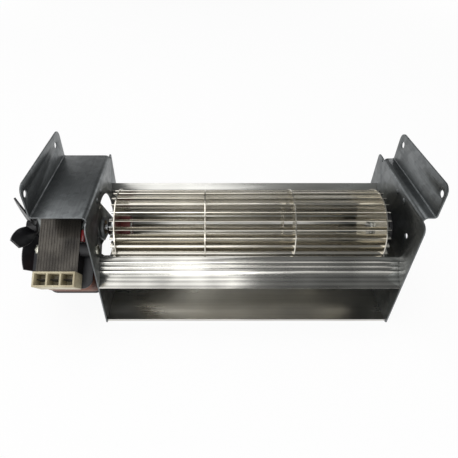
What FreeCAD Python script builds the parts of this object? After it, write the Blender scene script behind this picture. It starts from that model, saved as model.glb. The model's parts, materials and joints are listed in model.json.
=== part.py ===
"""Cross flow fan: a sheet metal duct with a long bladed impeller and a shaded pole motor.

The frame stands on the flat floor of the duct. X runs along the impeller, away from the
motor. The outlet faces -Y. Z is up. The origin is on the underside of the floor, halfway
between the end plates and straight below the impeller's axis. All sizes are in mm.
"""
import FreeCAD, Part
import math
import os

import Sketcher
from FreeCAD import Placement, Rotation, Vector

doc = FreeCAD.newDocument("cross_flow_fan")
sheet = doc.addObject("Spreadsheet::Sheet", "dims")
pieces = []

SIZES = {
    # Duct
    "inner_width": 220,  # between the two end plates
    "sheet_thick": 1,  # end plate sheet
    "axis_height": 60,  # impeller axis above the floor's underside
    "front_margin": 1,  # end plate in front of the floor
    "rear_margin": 3,  # end plate behind the back of the scroll
    "plate_shoulder": 3.6,  # top of the end plate below the folded strip
    "plate_corner": 6,  # radius of the end plate's front top corner
    "ear_drop": 1,  # rear ear of the end plate below the folded strip
    "ear_gap": 1,  # relief between the folded strip and the ear
    "ear_corner": 2,  # radius of the ear's rear corner
    "foot_corner": 1,  # radius of the end plate's bottom corners
    "motor_headroom": 2.6,  # between the motor's highest corner and the folded strip
    "strip_ahead": 5,  # folded strip in front of the front fixing hole
    "strip_behind": 7,  # folded strip behind the rear fixing hole
    "motor_strip_extra": 5,  # how much further back the motor side's strip runs
    "fold_radius": 2.5,  # inner radius of the fold from end plate to strip
    "bend_radius": 1,  # inner radius of the fold from strip to flange
    "right_reach": 9,  # inner face of the plate to the outer face of its flange
    "left_reach": 37.5,  # the same on the motor side
    "flange_height": 23,  # flange above the strip
    "flange_corner": 6,  # radius of the flange's top corners
    "flange_hole_radius": 2.5,  # fixing hole
    "flange_hole_front": 35,  # axis to the front fixing hole
    "flange_hole_spacing": 66,  # front to rear fixing hole
    "flange_hole_rise": 15.2,  # fixing holes above the strip
    "motor_opening": 26.5,  # radius of the motor side's opening
    "sight_hole_radius": 2,  # small hole near the front of the other plate
    "sight_hole_front": 29,  # axis to the small hole
    "sight_hole_rise": 15.3,  # small hole above the axis
    "pip_radius": 2.2,  # pressed pip on the end plates
    "pip_depth": 0.7,  # how far a pip stands into the duct
    "pip_front": 10.7,  # axis to the front pip
    "pip_spacing": 12,  # front to rear pip
    "pip_rise": 32.5,  # pips above the axis

    # Scroll
    "scroll_thick": 0.8,  # scroll sheet
    "floor_front": 45.5,  # axis to the front of the floor
    "floor_rear": 3,  # axis to where the floor starts to curve
    "floor_lip": 3,  # height of the turned front edge
    "lip_bend": 1.8,  # outer radius of the turned edge
    "scroll_radius": 42,  # outer radius of the curved back
    "scroll_turn": 132.5,  # how far the back curves round, in degrees
    "top_lip": 5.5,  # length of the lip at the top of the back
    "top_lip_slope": 50,  # slope of that lip, in degrees
    "tab_width": 10,  # tab that passes through an end plate
    "tab_reach": 1.5,  # tab beyond the end plate
    "tab_front": 35,  # axis to the front of the floor's tab
    "slot_clearance": 0.15,  # round a tab or a disc's blade

    # Front deflector
    "deflector_thick": 1.2,  # wall of the deflector
    "deflector_front": 31.2,  # axis to the deflector's upper edge
    "deflector_drop": 3,  # upper edge below the axis
    "deflector_slope": 53.5,  # slope of its face, in degrees
    "deflector_face": 13.6,  # length of that face
    "deflector_step": 3.3,  # length of the step below the face
    "deflector_screw": 6.6,  # screw inside the deflector's port
    "deflector_lip": 6,  # length of the front lip
    "step_ease": 11,  # how much flatter the step is, in degrees
    "lip_ease": 8,  # how much flatter the lip is, in degrees
    "rib_radius": 0.55,  # lengthwise rib on the face
    "rib_pitch": 3.4,  # from rib to rib
    "port_radius": 2.8,  # outside of the screw port behind the face

    # Impeller
    "blade_count": 28,  # blades
    "blade_inner": 23.5,  # radius at a blade's inner edge
    "blade_outer": 29.2,  # radius at a blade's outer edge
    "blade_bend": 8,  # radius that a blade is curved to
    "blade_thick": 0.5,  # blade sheet
    "disc_radius": 30,  # discs of the impeller
    "disc_thick": 0.8,  # disc sheet
    "disc_margin": 12,  # end plate to the middle of an end disc
    "blade_overhang": 3.5,  # blade beyond an end disc
    "ring_opening": 19.5,  # radius of the opening in the two inner discs
    "running_clearance": 0.05,  # shaft in its bush
    "press_clearance": 0.02,  # parts that are pressed together

    # Shafts and bearings
    "shaft_radius": 2.5,  # motor shaft and stub shaft
    "sleeve_radius": 4.5,  # steel sleeve on the motor shaft
    "collar_radius": 6.5,  # collar of that sleeve
    "collar_length": 5,  # length of the collar
    "damper_radius": 9,  # rubber damper in the driven disc
    "damper_neck": 6.7,  # damper where it passes through the disc
    "damper_outside": 5,  # damper on the motor side of the disc
    "damper_inside": 7.2,  # damper on the other side of the disc
    "grub_radius": 1.5,  # grub screw
    "stub_head": 6,  # radius of the stub shaft's inner head
    "stub_neck": 4,  # stub shaft where it passes through the disc
    "stub_flange": 9,  # radius of the stub shaft's flange
    "stub_flange_thick": 2,  # thickness of the head and the flange
    "bush_radius": 5.5,  # outside of a sintered bush
    "bush_length": 8,  # bush in the end plate
    "shaft_stub": 1,  # shaft beyond its bush or hub
    "mount_radius": 13,  # rubber mount of that bush
    "mount_neck": 10,  # rubber mount in the plate's hole
    "mount_cheek": 3,  # rubber mount on each side of the plate

    # Motor
    "motor_lean": 53,  # coil turned forward from straight down, in degrees
    "motor_gap": 10,  # end plate to the lamination stack
    "stack_length": 29,  # lamination stack
    "stack_half": 30,  # half the width of the stack
    "stack_top": 24,  # shaft to the closed end of the stack
    "stack_corner": 5,  # radius of the stack's corners
    "leg_width": 12,  # leg of the stack
    "leg_end": 40,  # shaft to the end of the legs
    "window_top": 16.5,  # shaft to the coil's window
    "bore_radius": 12.5,  # bore for the rotor
    "air_gap": 0.3,  # rotor to bore
    "rotor_end": 2.5,  # end ring of the rotor
    "end_ring_step": 1.2,  # end ring smaller than the rotor
    "yoke_height": 12.5,  # straight core inside the coil
    "flange_thick": 1.2,  # cheek of the bobbin
    "bobbin_wall": 1,  # tube of the bobbin
    "coil_half": 22,  # half the bobbin's width along the shaft
    "coil_top": 17.5,  # shaft to the coil's near side
    "coil_bottom": 50,  # shaft to the coil's far side
    "coil_corner": 7,  # radius of the coil's corners
    "winding_inset": 1.5,  # winding below the bobbin's rim
    "tape_thick": 0.6,  # tape round the winding
    "tape_inset": 2,  # bare wire beside the tape
    "bridge_height": 8,  # bearing bridge above the stack
    "bridge_wall": 1.6,  # wall of a bearing bridge
    "bridge_inset": 2,  # side of the stack to the end of a bridge
    "bridge_shoulder": 8,  # shaft to where a bridge starts to narrow
    "bridge_top": 16,  # shaft to the bridge's upper side
    "bridge_foot": 9,  # shaft to the bridge's lower side
    "boss_radius": 8,  # bearing boss of a bridge
    "boss_out": 2,  # boss beyond the bridge
    "boss_in": 3.5,  # boss inside the bridge
    "bridge_screw_radius": 1.5,  # screw through both bridges
    "bridge_screw_gap": 1.3,  # between a shading ring and that screw
    "bridge_screw_rise": 11,  # shaft to that screw, along the stack
    "mount_screw_radius": 2,  # screw that holds the motor to the plate
    "mount_screw_inset": 4.5,  # side of the stack to that screw
    "mount_screw_drop": 23,  # shaft to that screw, along the stack
    "head_height": 2.2,  # screw head
    "nut_height": 2.4,  # nut
    "screw_tail": 1,  # screw beyond its nut
    "nut_ratio": 1.8,  # nut or head radius by screw radius
    "hole_clearance": 0.2,  # screw in its hole
    "grommet_radius": 5,  # rubber spacer between motor and plate
    "shading_rim": 2.7,  # bore to a shading ring
    "shading_wire": 2,  # thickness of a shading ring
    "shading_low": 4,  # near leg of a shading ring
    "shading_high": 13,  # far side of a shading ring
    "fit_gap": 0.05,  # between parts that are slid together
    "sleeving_radius": 1.8,  # sleeving on the winding's lead
    "sleeving_length": 8.5,  # length of that sleeving

    # Connector
    "socket_proud": 5,  # connector's face in front of the stack
    "socket_height": 10.6,  # connector along the stack
    "socket_wall": 1.3,  # connector's walls
    "socket_depth": 12,  # depth of a chamber
    "blade_tab_width": 6.3,  # contact tab
    "blade_tab_thick": 0.8,  # thickness of a contact tab
    "blade_tab_length": 9,  # tab standing in its chamber

    # Motor fan
    "fan_blades": 7,  # blades of the motor's own fan
    "fan_radius": 35,  # its tip radius
    "fan_belly": 25,  # radius where its blades are widest
    "fan_turn": 19.5,  # how far it stands turned, in degrees
    "fan_hub": 7,  # its hub radius
    "fan_hub_length": 8,  # its hub length
    "fan_gap": 3,  # bearing boss to the fan's hub
    "fan_blade_thick": 1.4,  # its blade thickness
    "fan_root_chord": 8,  # chord at the hub
    "fan_belly_chord": 13,  # chord where the blades are widest
    "fan_tip_chord": 8,  # chord at the tip
    "fan_root_pitch": 58,  # pitch at the hub, in degrees
    "fan_belly_pitch": 46,  # pitch where the blades are widest, in degrees
    "fan_tip_pitch": 41,  # pitch at the tip, in degrees
}
for row, (alias, number) in enumerate(SIZES.items(), start=1):
    sheet.set(f"A{row}", alias)
    sheet.set(f"B{row}", str(number))
    sheet.setAlias(f"B{row}", alias)
doc.recompute()

# Places that several pieces share
PLATE = "dims.inner_width / 2"
PLATE_OUT = f"({PLATE} + dims.sheet_thick)"
PLATE_FRONT = "(dims.floor_front + dims.front_margin)"
PLATE_REAR = "(dims.floor_rear + dims.scroll_radius + dims.rear_margin)"
MOTOR_TOP = (
    "(sin(dims.motor_lean) * (dims.stack_half - dims.stack_corner)"
    " + cos(dims.motor_lean) * (dims.stack_top - dims.stack_corner) + dims.stack_corner)")
FOLD = f"(dims.axis_height + {MOTOR_TOP} + dims.motor_headroom + dims.sheet_thick)"
PLATE_TOP = f"({FOLD} - dims.plate_shoulder)"
EAR_TOP = f"({FOLD} - dims.ear_drop)"
END_DISC = f"({PLATE} - dims.disc_margin)"
INNER_RING = f"({END_DISC} / 3)"
STACK_IN = f"({PLATE_OUT} + dims.motor_gap)"
STACK_OUT = f"({STACK_IN} + dims.stack_length)"
STACK_MIDDLE = f"({STACK_IN} + dims.stack_length / 2)"
BRIDGE_OUT = f"({STACK_OUT} + dims.bridge_height)"
BRIDGE_IN = f"({STACK_IN} - dims.bridge_height)"
CHEEK = "(dims.stack_half - dims.leg_width)"
BRIDGE_HALF = "(dims.stack_half - dims.bridge_inset)"
MOUNT_SCREW = "(dims.stack_half - dims.mount_screw_inset)"
SHADING = "(dims.bore_radius + dims.shading_rim)"
BRIDGE_SCREW = (
    f"({SHADING} + dims.shading_wire + dims.bridge_screw_gap + dims.bridge_screw_radius)")
SOCKET_FACE = "(dims.stack_half + dims.socket_proud)"
HOLE_FRONT = "-dims.flange_hole_front"
HOLE_REAR = "(dims.flange_hole_spacing - dims.flange_hole_front)"
HOLE_HEIGHT = f"({FOLD} + dims.flange_hole_rise)"
STRIP_FRONT = "(dims.flange_hole_front + dims.strip_ahead)"
STRIP_REAR = f"({HOLE_REAR} + dims.strip_behind)"
SLEEVE_OUT = f"({END_DISC} + dims.damper_outside + dims.collar_length)"


def value(expression):
    """Number that an expression of the sheet's sizes gives."""
    return float(sheet.evalExpression(expression))


def new_body(label):
    """Empty body for one piece."""
    body = doc.addObject("PartDesign::Body", label)
    body.Label = label
    body.AllowCompound = True
    pieces.append(body)
    return body


def put(piece, x="0", y="0", z="dims.axis_height", turn="0"):
    """Bind a piece's place to the sheet; turn is in degrees about X."""
    corner = f"vector({x}; {y}; {z})"
    piece.setExpression("Placement", f"placement({corner}; rotation(vector(1; 0; 0); {turn}))")


def put_on_motor(piece):
    """Place a piece that is drawn with the coil straight below the shaft."""
    put(piece, turn="-dims.motor_lean")


def new_sketch(body, plane, name, offset="vector(0; 0; 0)", turn="0"):
    """Empty sketch on one of a body's origin planes, moved by offset in its own axes."""
    sketch = body.newObject("Sketcher::SketchObject", f"{body.Name}_{name}")
    support = [face for face in body.Origin.OriginFeatures if face.Role == plane][0]
    sketch.AttachmentSupport = (support, "")
    sketch.MapMode = "FlatFace"
    place = f"placement({offset}; rotation(vector(0; 0; 1); {turn}))"
    sketch.setExpression("AttachmentOffset", place)
    return sketch


def bind(sketch, kind, *where, to):
    """Add a dimension whose size is an expression."""
    index = sketch.addConstraint(Sketcher.Constraint(kind, *where, value(to)))
    sketch.setExpression(f"Constraints[{index}]", to)


def polygon(sketch, corners):
    """Closed outline of straight sides; each corner is a pair of expressions."""
    points = [Vector(value(across), value(up), 0) for across, up in corners]
    first = sketch.GeometryCount
    for start, end in zip(points, points[1:] + points[:1]):
        sketch.addGeometry(Part.LineSegment(start, end))
    for index, (across, up) in enumerate(corners):
        after = first + (index + 1) % len(corners)
        sketch.addConstraint(Sketcher.Constraint("Coincident", first + index, 2, after, 1))
        bind(sketch, "DistanceX", -1, 1, first + index, 1, to=across)
        bind(sketch, "DistanceY", -1, 1, first + index, 1, to=up)
    return sketch


def rectangle(sketch, left, right, bottom, top):
    """Closed upright rectangle."""
    return polygon(sketch, [(left, bottom), (right, bottom), (right, top), (left, top)])


def rounded_rectangle(sketch, left, right, bottom, top, radius):
    """Closed upright rectangle with its four corners rounded."""
    sides = [value(side) for side in (left, right, bottom, top)]
    corner = value(radius)
    centres = [Vector(sides[1] - corner, sides[2] + corner, 0),
               Vector(sides[1] - corner, sides[3] - corner, 0),
               Vector(sides[0] + corner, sides[3] - corner, 0),
               Vector(sides[0] + corner, sides[2] + corner, 0)]
    arcs = []
    for number, centre in enumerate(centres):
        ring = Part.Circle(centre, Vector(0, 0, 1), corner)
        start = math.radians(90 * (number - 1))
        arcs.append(sketch.addGeometry(Part.ArcOfCircle(ring, start, start + math.pi / 2)))
        bind(sketch, "Radius", arcs[-1], to=radius)
    for number, arc in enumerate(arcs):
        before = arcs[number - 1]
        line = sketch.addGeometry(Part.LineSegment(sketch.getPoint(before, 2),
                                                   sketch.getPoint(arc, 1)))
        sketch.addConstraint(Sketcher.Constraint("Tangent", before, 2, line, 1))
        sketch.addConstraint(Sketcher.Constraint("Tangent", line, 2, arc, 1))
        if number % 2:
            bind(sketch, "DistanceX", -1, 1, line, 1, to=(right, left)[number // 2])
            sketch.addConstraint(Sketcher.Constraint("Vertical", line))
        else:
            bind(sketch, "DistanceY", -1, 1, line, 1, to=(bottom, top)[number // 2])
            sketch.addConstraint(Sketcher.Constraint("Horizontal", line))
    return sketch


def circle(sketch, across, up, radius):
    """Circle whose centre and radius are expressions."""
    centre = Vector(value(across), value(up), 0)
    index = sketch.addGeometry(Part.Circle(centre, Vector(0, 0, 1), value(radius)))
    bind(sketch, "DistanceX", -1, 1, index, 3, to=across)
    bind(sketch, "DistanceY", -1, 1, index, 3, to=up)
    bind(sketch, "Radius", index, to=radius)
    return sketch


def pad(body, sketch, length):
    """Push a sketch out along its normal and add it to the body."""
    feature = body.newObject("PartDesign::Pad", f"{sketch.Name}_pad")
    feature.Profile = sketch
    feature.setExpression("Length", length)
    doc.recompute()
    return feature


def cut(body, sketch, along_normal=True, length=None):
    """Cut a sketch out of the body, right through or to a depth, and see that it cut."""
    before = body.Shape.Volume
    feature = body.newObject("PartDesign::Pocket", f"{sketch.Name}_cut")
    feature.Profile = sketch
    feature.Reversed = along_normal
    if length is None:
        feature.Type = "ThroughAll"
    else:
        feature.setExpression("Length", length)
    doc.recompute()
    if body.Shape.Volume > before - 1e-4:
        raise RuntimeError(f"{feature.Name} cut nothing")
    return feature


def round_edges(body, name, radius, chosen):
    """Round the edges for which chosen(middle, direction) is true."""
    base = body.Tip
    picked = []
    for number, edge in enumerate(base.Shape.Edges, start=1):
        if isinstance(edge.Curve, Part.Line):
            middle = edge.CenterOfMass
            if chosen(middle, edge.Curve.Direction):
                picked.append(f"Edge{number}")
    if not picked:
        raise RuntimeError(f"{body.Name} has no edge to round for {name}")
    feature = body.newObject("PartDesign::Fillet", f"{body.Name}_{name}")
    feature.Base = (base, picked)
    feature.setExpression("Radius", radius)
    doc.recompute()
    return feature


def near(number, expression):
    """True where a coordinate equals an expression."""
    return abs(number - value(expression)) < 1e-3


def along(direction, axis):
    """True where an edge runs along the named axis."""
    return abs(getattr(direction, axis)) > 0.999


def turn_profile(body, name, corners, side="0", rise="0"):
    """Turn an outline of (x, radius) pairs about a line along X."""
    sketch = new_sketch(body, "XY_Plane", name, offset=f"vector(0; {side}; {rise})")
    polygon(sketch, corners)
    feature = body.newObject("PartDesign::Revolution", f"{sketch.Name}_turned")
    feature.Profile = sketch
    feature.ReferenceAxis = (sketch, ["H_Axis"])
    feature.Angle = 360
    doc.recompute()
    return feature


def tube(start, end, inner, outer):
    """Outline of a plain tube or, with an inner radius of 0, a rod."""
    return [(start, inner), (end, inner), (end, outer), (start, outer)]


def copy_round_axis(body, feature, count):
    """Repeat a feature round the X axis."""
    pattern = body.newObject("PartDesign::PolarPattern", f"{body.Name}_round")
    pattern.Originals = [feature]
    axis = [line for line in body.Origin.OriginFeatures if line.Role == "X_Axis"][0]
    pattern.Axis = (axis, [""])
    pattern.Angle = 360
    pattern.setExpression("Occurrences", count)
    body.Tip = pattern
    doc.recompute()
    return pattern


def copy_along(body, features, role, distance):
    """Repeat features once, a distance along one of the body's axes."""
    pattern = body.newObject("PartDesign::LinearPattern", f"{body.Name}_row")
    pattern.Originals = features
    axis = [line for line in body.Origin.OriginFeatures if line.Role == role][0]
    pattern.Direction = (axis, [""])
    pattern.setExpression("Length", distance)
    pattern.Occurrences = 2
    body.Tip = pattern
    doc.recompute()
    return pattern


def end_plate(label, side, reach, strip_rear):
    """End plate with its strip folded outwards and its fixing flange folded up.

    side is "" for the plate at +X and "-" for the one on the motor side.
    """
    plate = new_body(label)
    inner_corner = PLATE if side == "" else f"-{PLATE_OUT}"
    sketch = new_sketch(plate, "YZ_Plane", "outline", offset=f"vector(0; 0; {inner_corner})")
    ear_front = f"{strip_rear} + dims.ear_gap"
    polygon(sketch, [(f"-{PLATE_FRONT}", "0"), (PLATE_REAR, "0"), (PLATE_REAR, EAR_TOP),
                     (ear_front, EAR_TOP), (ear_front, PLATE_TOP),
                     (f"-{PLATE_FRONT}", PLATE_TOP)])
    pad(plate, sketch, "dims.sheet_thick")
    round_edges(plate, "front_corner", "dims.plate_corner",
                lambda at, way: along(way, "x") and near(at.z, PLATE_TOP)
                and near(at.y, f"-{PLATE_FRONT}"))
    round_edges(plate, "ear", "dims.ear_corner",
                lambda at, way: along(way, "x") and near(at.z, EAR_TOP)
                and near(at.y, PLATE_REAR))
    round_edges(plate, "feet", "dims.foot_corner",
                lambda at, way: along(way, "x") and near(at.z, "0"))

    inner = f"{side}({PLATE})"
    outer = f"{side}({PLATE} + dims.sheet_thick)"
    flange_out = f"{side}({PLATE} + {reach})"
    flange_in = f"{side}({PLATE} + {reach} - dims.sheet_thick)"
    under = f"{FOLD} - dims.sheet_thick"
    top = f"{FOLD} + dims.flange_height"
    low = f"{PLATE_TOP} - dims.plate_corner"
    fold = new_sketch(plate, "XZ_Plane", "fold", offset=f"vector(0; 0; -{strip_rear})")
    polygon(fold, [(inner, low), (inner, FOLD), (flange_in, FOLD), (flange_in, top),
                   (flange_out, top), (flange_out, under), (outer, under), (outer, low)])
    pad(plate, fold, f"{STRIP_FRONT} + {strip_rear}")
    for name, radius, across, height in (
            ("fold_inside", "dims.fold_radius", outer, under),
            ("fold_outside", "dims.fold_radius + dims.sheet_thick", inner, FOLD),
            ("bend_inside", "dims.bend_radius", flange_in, FOLD),
            ("bend_outside", "dims.bend_radius + dims.sheet_thick", flange_out, under)):
        round_edges(plate, name, radius,
                    lambda at, way: along(way, "y") and near(at.x, across)
                    and near(at.z, height) and at.y < value(strip_rear))
    round_edges(plate, "flange_corners", "dims.flange_corner",
                lambda at, way: along(way, "x") and near(at.z, top))

    holes = new_sketch(plate, "YZ_Plane", "fixing_holes")
    circle(holes, HOLE_FRONT, HOLE_HEIGHT, "dims.flange_hole_radius")
    circle(holes, HOLE_REAR, HOLE_HEIGHT, "dims.flange_hole_radius")
    cut(plate, holes, along_normal=side == "")

    slots = new_sketch(plate, "YZ_Plane", "tab_slots")
    gap = "dims.slot_clearance"
    rectangle(slots, f"-dims.tab_front - {gap}", f"dims.tab_width - dims.tab_front + {gap}",
              "-dims.scroll_thick", f"dims.scroll_thick + {gap}")
    bow = "sqrt((dims.scroll_radius - dims.scroll_thick)^2 - (dims.tab_width / 2)^2)"
    rectangle(slots, f"dims.floor_rear + {bow} - {gap}",
              f"dims.floor_rear + dims.scroll_radius + {gap}",
              f"dims.scroll_radius - dims.tab_width / 2 - {gap}",
              f"dims.scroll_radius + dims.tab_width / 2 + {gap}")
    circle(slots, *SCREW_PORT, "dims.bridge_screw_radius + dims.hole_clearance")
    cut(plate, slots, along_normal=side == "")

    pips = []
    for name, back in (("front_pip", "-dims.pip_front"),
                       ("rear_pip", "dims.pip_spacing - dims.pip_front")):
        pip_end = f"{side}({PLATE} - dims.pip_depth)"
        height = "dims.axis_height + dims.pip_rise"
        corners = [(inner, "0"), (inner, "dims.pip_radius"), (pip_end, "dims.pip_radius / 2"),
                   (pip_end, "0")]
        pips.append(turn_profile(plate, name, corners, side=back, rise=height))
    return plate


# The deflector's face starts at its upper edge and runs down and forwards
FACE_RUN = "cos(dims.deflector_slope)"
FACE_FALL = "sin(dims.deflector_slope)"
PORT_BACK = "(dims.deflector_thick + dims.port_radius - dims.fit_gap)"
SCREW_PORT = (
    f"-dims.deflector_front - dims.deflector_face / 2 * {FACE_RUN} + {PORT_BACK} * {FACE_FALL}",
    "dims.axis_height - dims.deflector_drop"
    f" - dims.deflector_face / 2 * {FACE_FALL} - {PORT_BACK} * {FACE_RUN}")


def motor_side_plate():
    """End plate on the motor side, with its round opening and the motor's screw holes."""
    plate = end_plate("left_end_plate", "-", "dims.left_reach",
                      f"({STRIP_REAR} + dims.motor_strip_extra)")
    opening = new_sketch(plate, "YZ_Plane", "motor_opening")
    circle(opening, "0", "dims.axis_height", "dims.motor_opening")
    lean = "dims.motor_lean"
    for across in (MOUNT_SCREW, f"-{MOUNT_SCREW}"):
        circle(opening, f"{across} * cos({lean}) - dims.mount_screw_drop * sin({lean})",
               f"dims.axis_height - {across} * sin({lean}) - dims.mount_screw_drop * cos({lean})",
               "dims.mount_screw_radius + dims.hole_clearance")
    cut(plate, opening, along_normal=False)
    put(plate, z="0")


def bearing_side_plate():
    """The other end plate, with the hole for the rubber bearing mount."""
    plate = end_plate("right_end_plate", "", "dims.right_reach", STRIP_REAR)
    opening = new_sketch(plate, "YZ_Plane", "bearing_hole")
    circle(opening, "0", "dims.axis_height", "dims.mount_neck + dims.press_clearance")
    circle(opening, "-dims.sight_hole_front", "dims.axis_height + dims.sight_hole_rise",
           "dims.sight_hole_radius")
    cut(plate, opening)
    put(plate, z="0")


def heading(degrees):
    """Unit vector in the YZ plane at an angle above +Y."""
    angle = math.radians(degrees)
    return Vector(0, math.cos(angle), math.sin(angle))


def sheet_side(start, course, moves, offset):
    """Edges of one side of a folded sheet, at an offset to the left of its course."""
    edges = []
    point = start + heading(course + 90) * offset
    for move in moves:
        if len(move) == 1:
            following = point + heading(course) * move[0]
            edges.append(Part.makeLine(point, following))
        else:
            radius, turn = move
            left = math.copysign(1, turn)
            reach = radius - left * offset
            centre = point + heading(course + 90 * left) * reach
            middle = centre - heading(course + turn / 2 + 90 * left) * reach
            course += turn
            following = centre - heading(course + 90 * left) * reach
            edges.append(Part.Arc(point, middle, following).toShape())
        point = following
    return edges


def folded_face(start, course, moves, thick):
    """Section of a folded sheet: a move is (length,) or (radius, turn to the left)."""
    outside = sheet_side(start, course, moves, 0)
    inside = sheet_side(start, course, moves, thick)
    ends = [Part.makeLine(outside[0].firstVertex().Point, inside[0].firstVertex().Point),
            Part.makeLine(outside[-1].lastVertex().Point, inside[-1].lastVertex().Point)]
    return Part.Face(Part.Wire(Part.__sortEdges__(outside + inside + ends)))


def push_along_x(face, start, end):
    """Solid that a section makes from one X to another."""
    face = face.copy()
    face.translate(Vector(start, 0, 0))
    return face.extrude(Vector(end - start, 0, 0))


def new_feature(label, shape):
    """Piece whose shape is worked out in code."""
    feature = doc.addObject("Part::Feature", label)
    feature.Label = label
    feature.Shape = shape
    feature.Placement = Placement(Vector(0, 0, 0), Rotation())
    pieces.append(feature)
    return feature


def scroll_housing():
    """Floor and curved back of the duct in one folded sheet, with tabs at both ends."""
    lip_bend = value("dims.lip_bend")
    thick = value("dims.scroll_thick")
    radius = value("dims.scroll_radius")
    turn = value("dims.scroll_turn")
    moves = [(value("dims.floor_lip") - lip_bend,),
             (lip_bend, 90),
             (value("dims.floor_front + dims.floor_rear") - lip_bend,),
             (radius, turn),
             (lip_bend, value("dims.top_lip_slope") - turn),
             (value("dims.top_lip"),)]
    start = Vector(0, value("-dims.floor_front"), value("dims.floor_lip"))
    section = folded_face(start, -90, moves, thick)
    half = value(PLATE)
    reach = value(f"{PLATE_OUT} + dims.tab_reach")
    width = value("dims.tab_width")
    floor_window = Part.makeBox(2 * reach, width, lip_bend,
                                Vector(-reach, value("-dims.tab_front"), -lip_bend / 2))
    back_window = Part.makeBox(2 * reach, radius, width,
                               Vector(-reach, value("dims.floor_rear"), radius - width / 2))
    tabs = push_along_x(section, -reach, reach).common(floor_window.fuse(back_window))
    shape = push_along_x(section, -half, half).fuse(tabs).removeSplitter()
    new_feature("scroll_housing", shape)


def front_deflector():
    """Bright extruded deflector between the plates, with ribs and a screw port."""
    slope = value("dims.deflector_slope")
    face_length = value("dims.deflector_face")
    start = Vector(0, value("-dims.deflector_front"),
                   value("dims.axis_height - dims.deflector_drop"))
    course = 180 + slope
    bend = value("dims.bend_radius")
    moves = [(face_length,),
             (bend, -value("dims.step_ease")),
             (value("dims.deflector_step"),),
             (bend, -value("dims.lip_ease")),
             (value("dims.deflector_lip"),)]
    half = value(PLATE)
    section = folded_face(start, course, moves, value("dims.deflector_thick"))
    shape = push_along_x(section, -half, half)
    along_x = Vector(1, 0, 0)
    rib = value("dims.rib_radius")
    pitch = value("dims.rib_pitch")
    for number in (1, 2, 3):
        at = start + heading(course) * pitch * number + Vector(-half, 0, 0)
        shape = shape.fuse(Part.makeCylinder(rib, 2 * half, at, along_x))
    port = Vector(-half, value(SCREW_PORT[0]), value(SCREW_PORT[1]))
    shape = shape.fuse(Part.makeCylinder(value("dims.port_radius"), 2 * half, port, along_x))
    hole = value("dims.bridge_screw_radius - dims.press_clearance")
    shape = shape.cut(Part.makeCylinder(hole, 2 * half, port, along_x)).removeSplitter()
    new_feature("front_deflector", shape)


def deflector_screws():
    """One screw through each end plate into the deflector's port."""
    body = new_body("deflector_screws")
    radius = "dims.bridge_screw_radius - dims.press_clearance"
    head = "dims.bridge_screw_radius * dims.nut_ratio"
    for name, side in (("left", "-"), ("right", "")):
        seat = f"{side}{PLATE_OUT}"
        tip = f"{side}({PLATE} - dims.deflector_screw)"
        top = f"{side}({PLATE_OUT} + dims.head_height)"
        corners = [(tip, "0"), (tip, radius), (seat, radius), (seat, head), (top, head),
                   (top, "0")]
        turn_profile(body, name, corners, side=SCREW_PORT[0], rise=SCREW_PORT[1])
    put(body, z="0")


def blade_outline(sketch, gap="0"):
    """Section of one blade: a band curved about a point beside its inner edge."""
    inner = "dims.blade_inner"
    outer = "dims.blade_outer"
    near_end = f"({inner} - {gap})"
    far_end = f"({outer} + {gap})"
    bend = value("dims.blade_bend")
    centre = Vector(value(inner), bend, 0)
    sweep = math.pi / 4
    arcs = []
    for sign in ("+", "-"):
        radius = f"dims.blade_bend {sign} (dims.blade_thick / 2 + {gap})"
        ring = Part.Circle(centre, Vector(0, 0, 1), value(radius))
        arcs.append((sketch.addGeometry(Part.ArcOfCircle(ring, -math.pi / 2, sweep - math.pi / 2)),
                     radius))
    (low, low_radius), (high, high_radius) = arcs
    ends = []
    for point in (1, 2):
        ends.append(sketch.addGeometry(Part.LineSegment(sketch.getPoint(low, point),
                                                        sketch.getPoint(high, point))))
    for point, line in zip((1, 2), ends):
        sketch.addConstraint(Sketcher.Constraint("Coincident", low, point, line, 1))
        sketch.addConstraint(Sketcher.Constraint("Coincident", high, point, line, 2))
    sketch.addConstraint(Sketcher.Constraint("Coincident", low, 3, high, 3))
    bind(sketch, "DistanceX", -1, 1, low, 3, to=inner)
    bind(sketch, "DistanceY", -1, 1, low, 3, to="dims.blade_bend")
    bind(sketch, "Radius", low, to=low_radius)
    bind(sketch, "Radius", high, to=high_radius)
    for arc in (low, high):
        bind(sketch, "Distance", -1, 1, arc, 1, to=near_end)
        bind(sketch, "Distance", -1, 1, arc, 2, to=far_end)
    return sketch


def impeller_blades():
    """All the blades, each one strip through the four discs."""
    body = new_body("impeller_blades")
    start = f"-({END_DISC} + dims.blade_overhang)"
    sketch = new_sketch(body, "YZ_Plane", "blade", offset=f"vector(0; 0; {start})")
    blade = pad(body, blade_outline(sketch), f"2 * ({END_DISC} + dims.blade_overhang)")
    copy_round_axis(body, blade, "dims.blade_count")
    put(body)


def impeller_disc(label, middle, opening):
    """Thin disc with a slot for each blade and an opening in its middle."""
    body = new_body(label)
    sketch = new_sketch(body, "YZ_Plane", "rim",
                        offset=f"vector(0; 0; {middle} - dims.disc_thick / 2)")
    circle(sketch, "0", "0", "dims.disc_radius")
    circle(sketch, "0", "0", opening)
    pad(body, sketch, "dims.disc_thick")
    slot = new_sketch(body, "YZ_Plane", "slot",
                      offset=f"vector(0; 0; {middle} - dims.disc_thick)")
    blade_slot = cut(body, blade_outline(slot, "dims.fit_gap"), length="2 * dims.disc_thick")
    copy_round_axis(body, blade_slot, "dims.blade_count")
    put(body)


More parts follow.
